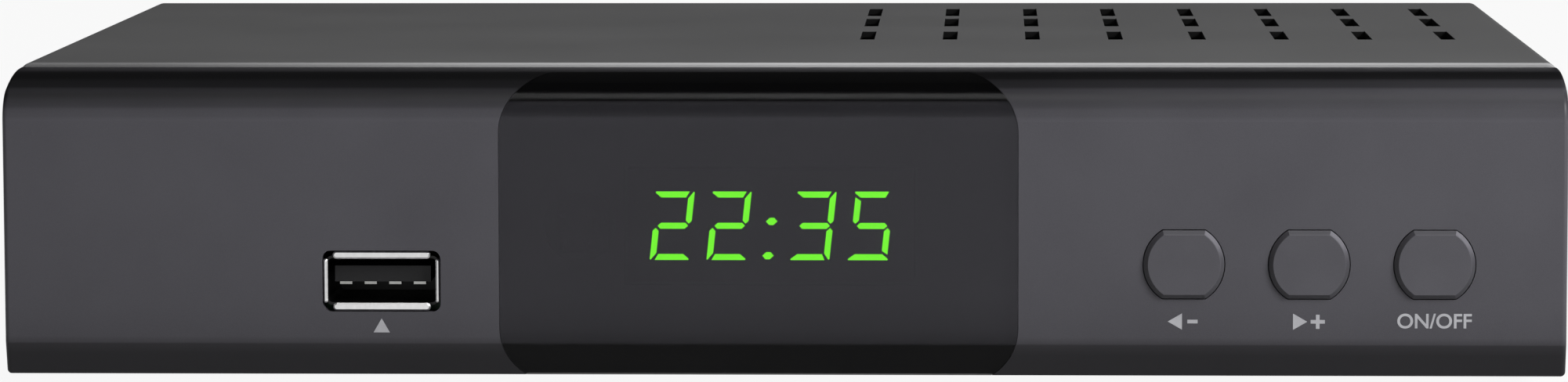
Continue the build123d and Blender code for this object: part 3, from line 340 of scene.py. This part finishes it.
tinLook = {
    "dark": (0.48, 0.48, 0.47), "light": (0.64, 0.64, 0.63), "grain": 0.6 * mm, "mottle": 8 * mm,
    "rough": (0.3, 0.45), "bump": 0.06, "metallic": 1.0, "stretch": (0.2, 1, 1),
}
dress(grainedFinish("tinPlate", tinLook)[0], "tuner_can", "crystal")

sinkLook = {
    "dark": (0.58, 0.59, 0.60), "light": (0.72, 0.73, 0.74), "grain": 0.3 * mm, "mottle": 9 * mm,
    "rough": (0.34, 0.46), "bump": 0.1, "metallic": 1.0, "stretch": (1, 0.1, 1),
}
dress(grainedFinish("sinkAluminium", sinkLook)[0], "heat_sink", "capacitors")

# Moulded plastics and resins
mouldLook = {
    "dark": (0.014, 0.014, 0.015), "light": (0.026, 0.026, 0.028), "grain": 0.15 * mm, "mottle": 5 * mm,
    "rough": (0.42, 0.55), "bump": 0.12,
}
dress(
    grainedFinish("mouldBlack", mouldLook)[0], "scart_socket", "scart_insert", "hdmi_tongue", "coaxial_body",
    "dc_jack", "display_module", "switch_bodies", "channel_down_plunger", "channel_up_plunger",
    "power_plunger",
)

# The port's tongue: a darker copy of the moulded black, as painted shade inside the port
shadedTongueLook = dict(mouldLook, dark=(0.006, 0.006, 0.0065), light=(0.010, 0.010, 0.011), specular=0.2)
dress(grainedFinish("shadedTongueBlack", shadedTongueLook)[0], "usb_tongue")

epoxyLook = {
    "dark": (0.012, 0.012, 0.013), "light": (0.024, 0.024, 0.025), "grain": 0.1 * mm, "mottle": 6 * mm,
    "rough": (0.55, 0.68), "bump": 0.2,
}
dress(grainedFinish("chipEpoxy", epoxyLook)[0], "processor", "memory_chips", "power_inductors")

filterLook = {
    "dark": (0.010, 0.006, 0.010), "light": (0.018, 0.010, 0.018), "grain": 0.4 * mm, "mottle": 2 * mm,
    "rough": (0.12, 0.2), "bump": 0.02,
}
dress(grainedFinish("filterResin", filterLook)[0], "infrared_receiver")

nylonLook = {
    "dark": (0.66, 0.64, 0.58), "light": (0.76, 0.74, 0.69), "grain": 0.2 * mm, "mottle": 4 * mm,
    "rough": (0.45, 0.58), "bump": 0.1,
}
dress(
    grainedFinish("whiteNylon", nylonLook)[0], "front_ribbon_socket", "main_ribbon_socket",
    "aerial_insulator", "loop_insulator",
)

orangeLook = {
    "dark": (0.70, 0.19, 0.02), "light": (0.82, 0.26, 0.04), "grain": 0.2 * mm, "mottle": 3 * mm,
    "rough": (0.4, 0.5), "bump": 0.1,
}
dress(grainedFinish("orangeNylon", orangeLook)[0], "coaxial_insulator")

# Circuit boards: solder resist over copper tracks
boardLook = {
    "dark": (0.010, 0.075, 0.030), "light": (0.014, 0.100, 0.042), "grain": 0.3 * mm, "mottle": 12 * mm,
    "rough": (0.28, 0.4), "bump": 0.05,
    "track": (0.020, 0.155, 0.062), "trackSize": 3.2 * mm, "trackWidth": 0.06,
}
boardLacquer, tree, shader = grainedFinish("boardLacquer", boardLook)
tracks = addNode(tree, "ShaderNodeTexBrick", {
    "Vector": surfacePlace(tree), "Scale": 1 / boardLook["trackSize"],
    "Mortar Size": boardLook["trackWidth"],
})
overBase(tree, shader, tracks.outputs["Fac"], boardLook["track"])
dress(boardLacquer, "front_board", "main_board")

# Flat lead: vinyl over wires side by side
ribbonLook = {
    "dark": (0.34, 0.34, 0.36), "light": (0.44, 0.44, 0.46), "grain": 0.3 * mm, "mottle": 5 * mm,
    "rough": (0.4, 0.5), "bump": 0.05, "wire": 1.27 * mm, "wireBump": 0.6, "wireRelief": 0.2 * mm,
}
ribbonVinyl, tree, shader = grainedFinish("ribbonVinyl", ribbonLook)
wires = addNode(tree, "ShaderNodeTexWave", {
    "Vector": surfacePlace(tree), "Scale": math.pi / (10 * ribbonLook["wire"]),  # one wave for each wire
}, bands_direction="X")
bump = addNode(tree, "ShaderNodeBump", {
    "Height": wires.outputs["Fac"], "Strength": ribbonLook["wireBump"], "Distance": ribbonLook["wireRelief"],
})
tree.links.new(bump.outputs["Normal"], shader.inputs["Normal"])
dress(ribbonVinyl, "ribbon_cable")
print("case and inner finishes ready")


# Helpers for modelling

def pick(piece, kind, test):
    bpy.ops.object.mode_set(mode="EDIT")
    bpy.ops.mesh.select_mode(type=kind)
    bpy.ops.mesh.select_all(action="DESELECT")
    bpy.ops.object.mode_set(mode="OBJECT")
    mesh = piece.data
    for element in {"FACE": mesh.polygons, "EDGE": mesh.edges, "VERT": mesh.vertices}[kind]:
        element.select = test(element)
    bpy.ops.object.mode_set(mode="EDIT")


def makeActive(piece):
    bpy.ops.object.select_all(action="DESELECT")
    piece.select_set(True)
    bpy.context.view_layer.objects.active = piece


def bevelledBlock(size, test, bevel, steps):
    bpy.ops.mesh.primitive_cube_add(size=1)
    block = bpy.context.object
    block.scale = size
    bpy.ops.object.transform_apply(scale=True)
    pick(block, "FACE", test)
    bpy.ops.mesh.bevel(offset=bevel, segments=steps, affect="EDGES")
    bpy.ops.object.mode_set(mode="OBJECT")
    return block


# Gives the flat piece being edited a thickness towards the front
def thicken(depth):
    bpy.ops.mesh.select_all(action="SELECT")
    bpy.ops.mesh.extrude_region_move(TRANSFORM_OT_translate={"value": (0, -depth, 0)})
    bpy.ops.mesh.select_all(action="SELECT")
    bpy.ops.mesh.normals_make_consistent(inside=False)
    bpy.ops.object.mode_set(mode="OBJECT")


def copiesOf(piece, places, turn=(0, 0, 0)):
    copies = []
    for place in places:
        twin = piece.copy()
        twin.data = piece.data.copy()
        twin.location = place
        twin.rotation_euler = turn
        bpy.context.scene.collection.objects.link(twin)
        copies.append(twin)
    bpy.data.objects.remove(piece)
    return copies


def joinAll(pieces):
    makeActive(pieces[0])
    for piece in pieces:
        piece.select_set(True)
    if len(pieces) > 1:
        bpy.ops.object.join()
    return bpy.context.view_layer.objects.active


def settle(piece, name, material, body="case"):
    makeActive(piece)
    bpy.ops.object.transform_apply(location=True, rotation=True, scale=True)
    piece.name = name
    piece.data.name = name
    piece.data.materials.clear()
    piece.data.materials.append(material)
    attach(piece, body)
    return piece


# Rear screws: pan heads with a cross recess
screwShape = {
    "headRadius": 2.75 * mm, "headHeight": 1.8 * mm, "sides": 40, "crown": 1.1 * mm, "crownSteps": 5,
    "shank": 1.3 * mm, "grip": 4 * mm, "slotLength": 3.2 * mm, "slotWidth": 0.75 * mm, "slotDepth": 1.1 * mm,
    "slotTaper": 0.55, "smooth": 35,
}
shape = screwShape
bpy.ops.mesh.primitive_cylinder_add(
    vertices=shape["sides"], radius=shape["headRadius"], depth=shape["headHeight"],
    location=(0, 0, shape["headHeight"] / 2),
)
screw = bpy.context.object
bpy.ops.object.transform_apply(location=True)
pick(screw, "FACE", lambda face: face.normal.z > facesAlong)
bpy.ops.mesh.bevel(offset=shape["crown"], segments=shape["crownSteps"], affect="EDGES")
pick(screw, "FACE", lambda face: face.normal.z < -facesAlong)
bpy.ops.mesh.inset(thickness=shape["headRadius"] - shape["shank"])
bpy.ops.mesh.extrude_region_move(TRANSFORM_OT_translate={"value": (0, 0, -shape["grip"])})
bpy.ops.object.mode_set(mode="OBJECT")
for turn in (0, math.pi / 2):
    bpy.ops.mesh.primitive_cube_add(size=1, location=(0, 0, shape["headHeight"]), rotation=(0, 0, turn))
    slotCutter = bpy.context.object
    slotCutter.scale = (shape["slotLength"], shape["slotWidth"], 2 * shape["slotDepth"])
    bpy.ops.object.transform_apply(location=True, rotation=True, scale=True)
    pick(slotCutter, "FACE", lambda face: face.normal.z < -facesAlong)
    bpy.ops.transform.resize(value=(shape["slotTaper"], shape["slotTaper"], 1))
    bpy.ops.object.mode_set(mode="OBJECT")
    makeActive(screw)
    cut = screw.modifiers.new("crossSlot", "BOOLEAN")
    cut.object = slotCutter
    cut.operation = "DIFFERENCE"
    bpy.ops.object.modifier_apply(modifier=cut.name)
    bpy.data.objects.remove(slotCutter)
makeActive(screw)
bpy.ops.object.shade_smooth_by_angle(angle=math.radians(shape["smooth"]))
low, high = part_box("cover_screws")
middle = centreOf("cover_screws")
headBack = high.y - shape["headHeight"]
screwColumns = (low.x + shape["headRadius"], middle.x, high.x - shape["headRadius"])
screwPlaces = [(x, headBack, middle.z) for x in screwColumns]
coverScrews = joinAll(copiesOf(screw, screwPlaces, (-math.pi / 2, 0, 0)))
settle(coverScrews, "coverScrews", zincSteel)
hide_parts("cover_screws")
print("rear screws ready")

# Rubber feet with a moulded ring underneath
footShape = {
    "radius": 6 * mm, "sides": 56, "round": 0.8 * mm, "roundSteps": 4, "ring": 1.8 * mm, "step": 0.5 * mm,
    "recess": 0.6 * mm, "flatFace": 0.999, "smooth": 40,
}
shape = footShape
low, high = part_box("rubber_feet")
footHeight = high.z - low.z
bpy.ops.mesh.primitive_cylinder_add(
    vertices=shape["sides"], radius=shape["radius"], depth=footHeight, location=(0, 0, footHeight / 2),
)
foot = bpy.context.object
bpy.ops.object.transform_apply(location=True)
pick(foot, "FACE", lambda face: face.normal.z < -facesAlong)
bpy.ops.mesh.bevel(offset=shape["round"], segments=shape["roundSteps"], affect="EDGES")
pick(foot, "FACE", lambda face: face.normal.z < -shape["flatFace"])
bpy.ops.mesh.inset(thickness=shape["ring"])
bpy.ops.mesh.inset(thickness=shape["step"])
bpy.ops.transform.translate(value=(0, 0, shape["recess"]))
bpy.ops.object.mode_set(mode="OBJECT")
bpy.ops.object.shade_smooth_by_angle(angle=math.radians(shape["smooth"]))
footPlaces = [
    (x, y, 0) for x in (low.x + shape["radius"], high.x - shape["radius"])
    for y in (low.y + shape["radius"], high.y - shape["radius"])
]
rubberFeet = settle(joinAll(copiesOf(foot, footPlaces)), "rubberFeet", footRubber)
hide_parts("rubber_feet")
print("feet ready")

# Lit segments of the clock: thin plates on the display's face, their corners shared out as on such digits
clockShape = {
    "weld": 0.005 * mm, "flatAngle": 1, "raise": 0.08 * mm, "lean": 6.2, "clip": 0.34 * mm,
    "drawIn": 0.055 * mm,  # of every outline, after the clipping
    "digitEnds": (0.21, 0.55, 0.80),  # shares of the clock's width at which the next digit starts
    "nudge": (0, 0.03 * mm, 0.10 * mm, 0.19 * mm),  # of each digit to the right
    "uprightOwns": (  # corners of each digit that belong to an upright bar: side and height
        ((1, 1), (-1, -1)), ((1, 1), (-1, -1)), ((1, 1), (1, -1)), ((1, 1),),
    ),
    "reach": (0.53 * mm, 0.30 * mm), "cutBack": 0.40 * mm,  # ends of a level bar: outer and inner corner
    "rise": (0.37 * mm, 0.10 * mm), "drop": (0.47 * mm, 0.18 * mm),  # far ends of an upright bar
    "middleGap": 0.06 * mm,  # its near end
    "middleReach": (0.05 * mm, 0.20 * mm),  # left and right ends of a middle bar
    "dotArea": 1.3 * mm ** 2, "dotGrow": 0.18,
}
shape = clockShape
low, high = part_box("display_lit_segments")
clockSegments = bpy.data.objects.new("clockSegments", nodes["display_lit_segments"].data.copy())
bpy.context.scene.collection.objects.link(clockSegments)
makeActive(clockSegments)
bpy.ops.object.mode_set(mode="EDIT")
bpy.ops.mesh.select_all(action="SELECT")
bpy.ops.mesh.remove_doubles(threshold=shape["weld"])
bpy.ops.mesh.dissolve_limited(angle_limit=math.radians(shape["flatAngle"]))
pick(clockSegments, "FACE", lambda face: face.normal.y < -facesAlong)
bpy.ops.mesh.select_all(action="INVERT")
bpy.ops.mesh.delete(type="FACE")
bpy.ops.object.mode_set(mode="OBJECT")

segments = clockSegments.data.polygons
points = clockSegments.data.vertices
middleZ = (low.z + high.z) / 2
slope = math.tan(math.radians(shape["lean"]))
moves = {}  # of a corner: to the right and up
clipped = []


def digitOf(face):
    share = (face.center.x - low.x) / (high.x - low.x)
    return sum(share > end for end in clockShape["digitEnds"])


def middleOfDigit(digit):
    sides = [points[corner].co.x for face in segments if digitOf(face) == digit for corner in face.vertices]
    return (min(sides) + max(sides)) / 2


digitMiddles = [middleOfDigit(digit) for digit in range(len(shape["uprightOwns"]))]
for face in segments:
    digit = digitOf(face)
    up = 1 if face.center.z > middleZ else -1
    # Corners of this segment, those farthest from the clock's middle line first
    corners = sorted(face.vertices, key=lambda corner: -abs(points[corner].co.z - middleZ))
    if len(corners) == 4:  # a level bar at the top or the bottom
        for side in (-1, 1):
            outer = max(corners[:2], key=lambda corner: side * points[corner].co.x)
            inner = max(corners[2:], key=lambda corner: side * points[corner].co.x)
            if (side, up) in shape["uprightOwns"][digit]:
                moves[outer] = (-side * shape["cutBack"], 0)
            else:
                moves[outer] = (side * shape["reach"][0], 0)
                moves[inner] = (side * shape["reach"][1], 0)
                clipped.append(outer)
    if len(corners) == 5:  # an upright bar
        side = 1 if face.center.x > digitMiddles[digit] else -1
        owns = (side, up) in shape["uprightOwns"][digit]
        for corner, far in zip(corners[:2], shape["rise"] if owns else shape["drop"]):
            far *= up if owns else -up
            moves[corner] = (far * slope, far)
        for corner in corners[2:]:
            moves[corner] = (up * shape["middleGap"] * slope, up * shape["middleGap"])
        clipped.append(max(corners[3:], key=lambda corner: side * points[corner].co.x))
        clipped += corners[:1] if owns else []
    if len(corners) == 6:  # a middle bar or a dot
        for corner in corners:
            off = points[corner].co - face.center
            if face.area < shape["dotArea"]:
                moves[corner] = (off.x * shape["dotGrow"], off.z * shape["dotGrow"])
            else:
                moves[corner] = (shape["middleReach"][1] if off.x > 0 else -shape["middleReach"][0], 0)
    for corner in corners:
        across, upwards = moves.get(corner, (0, 0))
        moves[corner] = (across + shape["nudge"][digit], upwards)
for shift in sorted(set(moves.values())):
    pick(clockSegments, "VERT", lambda point: moves.get(point.index) == shift)
    bpy.ops.transform.translate(value=(shift[0], 0, shift[1]))
pick(clockSegments, "VERT", lambda point: point.index in clipped)
bpy.ops.mesh.bevel(offset=shape["clip"], segments=1, affect="VERTICES")
bpy.ops.mesh.select_mode(type="FACE")
bpy.ops.mesh.select_all(action="SELECT")
bpy.ops.mesh.inset(thickness=shape["drawIn"], use_individual=True)
bpy.ops.mesh.select_all(action="INVERT")
bpy.ops.mesh.delete(type="FACE")
thicken(shape["raise"])
settle(clockSegments, "clockSegments", litResin)
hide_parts("display_lit_segments")
print("clock ready:", len(clockSegments.data.polygons), "faces")

# Printed marks: minus and plus under the channel buttons, ON/OFF, an arrow under the port
inkLook = {
    "dark": (0.30, 0.30, 0.318), "light": (0.36, 0.36, 0.378), "grain": 0.06 * mm, "mottle": 2 * mm,
    "rough": (0.4, 0.5), "bump": 0.05,
}
printInk = grainedFinish("printInk", inkLook)[0]
markShape = {
    "tall": 1.63 * mm, "stroke": 0.42 * mm, "raise": 0.02 * mm,
    "underButton": 6.6 * mm, "underPort": 5.4 * mm,
    "spread": 0.62, "minusWidth": 0.72,  # shares of the height
    "shift": 0.27 * mm,  # of the arrows: towards the minus, away from the plus
    "letterHeight": 0.69,  # of a capital, as a share of the text's size
    "bolder": 0.035 * mm, "touch": 0.01 * mm,
}
panelFace = panelLow.y
tallInRadii = 1.5  # height of a triangle


def bar(x, z, width, tall):
    bpy.ops.mesh.primitive_plane_add(size=1, location=(x, panelFace, z), rotation=(math.pi / 2, 0, 0))
    strip = bpy.context.object
    strip.scale = (width, tall, 1)
    bpy.ops.object.transform_apply(location=True, rotation=True, scale=True)
    return strip


def triangle(x, z, tall, turn):
    bpy.ops.mesh.primitive_circle_add(
        vertices=3, radius=tall / tallInRadii, fill_type="NGON", location=(x, panelFace, z),
        rotation=(math.pi / 2, turn, 0),
    )
    bpy.ops.object.transform_apply(location=True, rotation=True, scale=True)
    return bpy.context.object


def middleOfEdge(piece, edge):
    first, second = (piece.data.vertices[end].co for end in edge.vertices)
    return (first + second) / 2


def cross(x, z):
    stroke = markShape["stroke"]
    arm = (markShape["tall"] - stroke) / 2
    square = bar(x, z, stroke, stroke)
    for across, up in ((1, 0), (-1, 0), (0, 1), (0, -1)):
        root = Vector((x + across * stroke / 2, panelFace, z + up * stroke / 2))
        pick(square, "EDGE", lambda edge: (middleOfEdge(square, edge) - root).length < markShape["touch"])
        bpy.ops.mesh.extrude_region_move(TRANSFORM_OT_translate={"value": (across * arm, 0, up * arm)})
        bpy.ops.object.mode_set(mode="OBJECT")
    return square


def raised(parts, name):
    mark = joinAll(parts)
    bpy.ops.object.mode_set(mode="EDIT")
    thicken(markShape["raise"])
    return settle(mark, name, printInk)


shape = markShape
tall = shape["tall"]
buttons = ("channel_down_button", "channel_up_button", "power_button")
downCentre, upCentre, powerCentre = (centreOf(button) for button in buttons)
markZ = downCentre.z - shape["underButton"]
reach = tall * shape["spread"]
minusArrow = triangle(downCentre.x - reach + shape["shift"], markZ, tall, -math.pi / 2)
minus = bar(downCentre.x + reach, markZ, tall * shape["minusWidth"], shape["stroke"])
raised([minusArrow, minus], "minusMark")
plusArrow = triangle(upCentre.x - reach - shape["shift"], markZ, tall, math.pi / 2)
raised([plusArrow, cross(upCentre.x + reach, markZ)], "plusMark")
portCentre = centreOf("usb_shell")
raised([triangle(portCentre.x, portCentre.z - shape["underPort"], tall, 0)], "portMark")

bpy.ops.object.text_add(location=(0, 0, 0))
words = bpy.context.object
words.data.body = "ON/OFF"
words.data.align_x = "CENTER"
words.data.align_y = "CENTER"
words.data.size = tall / shape["letterHeight"]
words.data.offset = shape["bolder"]
words.data.extrude = shape["raise"] / 2
bpy.ops.object.convert(target="MESH")
words = bpy.context.object
words.location = (powerCentre.x, panelFace - shape["raise"] / 2, markZ)
words.rotation_euler = (math.pi / 2, 0, 0)
settle(words, "onOffMark", printInk)
print("printed marks ready")

# Blades in the wide rear socket, in two rows set half a pitch apart
bladeShape = {
    "pitch": 3.81 * mm, "rowPitch": 5.6 * mm, "count": 10, "width": 0.5 * mm, "tall": 2.6 * mm,
    "length": 6 * mm, "back": 1.6 * mm, "bevel": 0.2 * mm, "bevelSteps": 2,
}
shape = bladeShape
bladeSize = (shape["width"], shape["length"], shape["tall"])
blade = bevelledBlock(
    bladeSize, lambda face: face.normal.y > facesAlong, shape["bevel"], shape["bevelSteps"],
)
middle = centreOf("scart_insert")
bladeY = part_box("scart_insert")[1].y - shape["back"] - shape["length"] / 2
bladePlaces = []
for side in (-1, 1):
    rowX = middle.x + side * shape["pitch"] / 4 - shape["pitch"] * (shape["count"] - 1) / 2
    rowZ = middle.z + side * shape["rowPitch"] / 2
    bladePlaces += [(rowX + shape["pitch"] * step, bladeY, rowZ) for step in range(shape["count"])]
settle(joinAll(copiesOf(blade, bladePlaces)), "scartContacts", goldFlash)

# Fingers on both faces of the picture socket's tongue
fingerShape = {
    "pitch": 1.0 * mm, "counts": {1: 10, -1: 9}, "width": 0.45 * mm, "thick": 0.08 * mm, "length": 8 * mm,
    "back": 0.6 * mm, "bevel": 0.03 * mm, "bevelSteps": 1,
}
shape = fingerShape
fingerSize = (shape["width"], shape["length"], shape["thick"])
finger = bevelledBlock(
    fingerSize, lambda face: abs(face.normal.z) > facesAlong, shape["bevel"], shape["bevelSteps"],
)
low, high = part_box("hdmi_tongue")
middle = centreOf("hdmi_tongue")
fingerY = high.y - shape["back"] - shape["length"] / 2
fingerPlaces = []
for side, count in shape["counts"].items():
    rowX = middle.x - shape["pitch"] * (count - 1) / 2
    rowZ = (high.z if side > 0 else low.z) + side * shape["thick"] / 2
    fingerPlaces += [(rowX + shape["pitch"] * step, fingerY, rowZ) for step in range(count)]
settle(joinAll(copiesOf(finger, fingerPlaces)), "pictureContacts", goldFlash)
print("socket contacts ready")

# Studio: a pale floor, bright surroundings low down and a dim ceiling, soft lamps
studio = {
    "floorSize": 14, "floor": (0.52, 0.52, 0.525), "floorDarker": 0.98, "floorMottle": 0.4,
    "floorRough": 0.9, "floorSpecular": 0.1, "floorGlow": 0.92,
    "mirrored": 0.95, "ceiling": 0.02, "ambient": 0.17,
    "lowDown": (0.30, 0.50), "inFront": (-0.35, 0.1),  # where the mirrored room fades out, going up and back
}


# Whether a thing is seen straight, and whether it is mirrored
def seenBy(tree):
    path = addNode(tree, "ShaderNodeLightPath").outputs
    straight = mathOf(tree, "MAXIMUM", path["Is Camera Ray"], path["Is Transmission Ray"])
    return straight, path["Is Glossy Ray"]


bpy.ops.mesh.primitive_plane_add(size=studio["floorSize"], location=(0, 0, 0))
floor = bpy.context.object
floor.name = "studioFloor"
floorPaint, tree, shader = newFinish("floorPaint")
mottle = noiseAt(tree, surfacePlace(tree), studio["floorMottle"])
darker = tuple(studio["floorDarker"] * value for value in studio["floor"])
tree.links.new(blendColours(tree, mottle, studio["floor"], darker), shader.inputs["Base Color"])
shader.inputs["Roughness"].default_value = studio["floorRough"]
shader.inputs["Specular IOR Level"].default_value = studio["floorSpecular"]
seen, glossy = seenBy(tree)
glowShare = mathOf(tree, "MULTIPLY", mathOf(tree, "MAXIMUM", seen, glossy), studio["floorGlow"])
glow = addNode(tree, "ShaderNodeEmission", {"Color": opaque(white), "Strength": 1.0}).outputs["Emission"]
mixed = addNode(tree, "ShaderNodeMixShader", {0: glowShare, 1: shader.outputs["BSDF"], 2: glow})
tree.links.new(mixed.outputs["Shader"], tree.nodes["Material Output"].inputs["Surface"])
floor.data.materials.append(floorPaint)

# The room is white to the eye, bright only low down in front where it is mirrored, and even for soft light
world = bpy.data.worlds.new("studioRoom")
bpy.context.scene.world = world
world.use_nodes = True
tree = world.node_tree
coords = addNode(tree, "ShaderNodeTexCoord").outputs["Generated"]
towards = addNode(tree, "ShaderNodeSeparateXYZ", {"Vector": coords}).outputs
lowDown = rangeOf(tree, towards["Z"], 1.0, 0.0, *studio["lowDown"])
inFront = rangeOf(tree, towards["Y"], 1.0, 0.0, *studio["inFront"])
mirrored = mathOf(tree, "MULTIPLY", lowDown, inFront)
mirrored = rangeOf(tree, mirrored, studio["ceiling"], studio["mirrored"], 0.0, 1.0)
seen, glossy = seenBy(tree)
soft = blendColours(tree, glossy, (studio["ambient"],) * 3, mirrored)
tree.links.new(blendColours(tree, seen, soft, white), tree.nodes["Background"].inputs["Color"])

lamps = {
    "keySoftbox": {
        "place": (0.66, -0.54, 0.58), "aim": (0.03, -0.05, 0.02), "size": (0.36, 0.36), "power": 12.5,
    },
    "leftSoftbox": {
        "place": (-1.3, -0.7, 0.6), "aim": (0, 0, 0.02), "size": (0.8, 0.6), "power": 0.8,
    },
    "rearSoftbox": {
        "place": (0.5, 1.6, 0.7), "aim": (0, 0.05, 0.02), "size": (1.2, 0.6), "power": 8, "mirrored": False,
    },
    "topStrip": {
        "place": (0.15, -0.16, 1.3), "aim": (0.15, -0.06, 0.03), "size": (0.7, 0.5), "power": 4.3,
        "soft": False,
    },
    "sideFill": {
        "place": (0.40, -0.30, 0.10), "aim": (0.04, -0.06, 0.02), "size": (0.12, 0.12), "power": 0.4,
        "mirrored": False,
    },
}
for name, lamp in lamps.items():
    bpy.ops.object.light_add(type="AREA", location=lamp["place"])
    light = bpy.context.object
    light.name = name
    light.data.shape = "RECTANGLE"
    light.data.size, light.data.size_y = lamp["size"]
    light.data.energy = lamp["power"]
    light.visible_camera = False
    light.visible_glossy = lamp.get("mirrored", True)
    light.visible_diffuse = lamp.get("soft", True)
    light.rotation_euler = (Vector(lamp["aim"]) - Vector(lamp["place"])).to_track_quat("-Z", "Y").to_euler()
print("studio ready")

# Camera: a long lens, a little above the panel and to the right of its middle
lens = {
    "place": (24.01 * mm, -720.5 * mm, 87.77 * mm), "yaw": 2.077, "pitch": 5.565, "roll": -0.142,
    "focal": 131.58, "sensor": 36, "clip": (0.01, 50),
}
bpy.ops.object.camera_add(location=lens["place"])
camera = bpy.context.object
turned = Euler((math.radians(90 - lens["pitch"]), 0, math.radians(lens["yaw"]))).to_matrix()
camera.rotation_euler = (turned @ Matrix.Rotation(math.radians(lens["roll"]), 3, "Z")).to_euler()
camera.data.sensor_fit = "HORIZONTAL"
camera.data.sensor_width = lens["sensor"]
camera.data.lens = lens["focal"]
camera.data.clip_start, camera.data.clip_end = lens["clip"]
bpy.context.scene.camera = camera
print("camera ready")
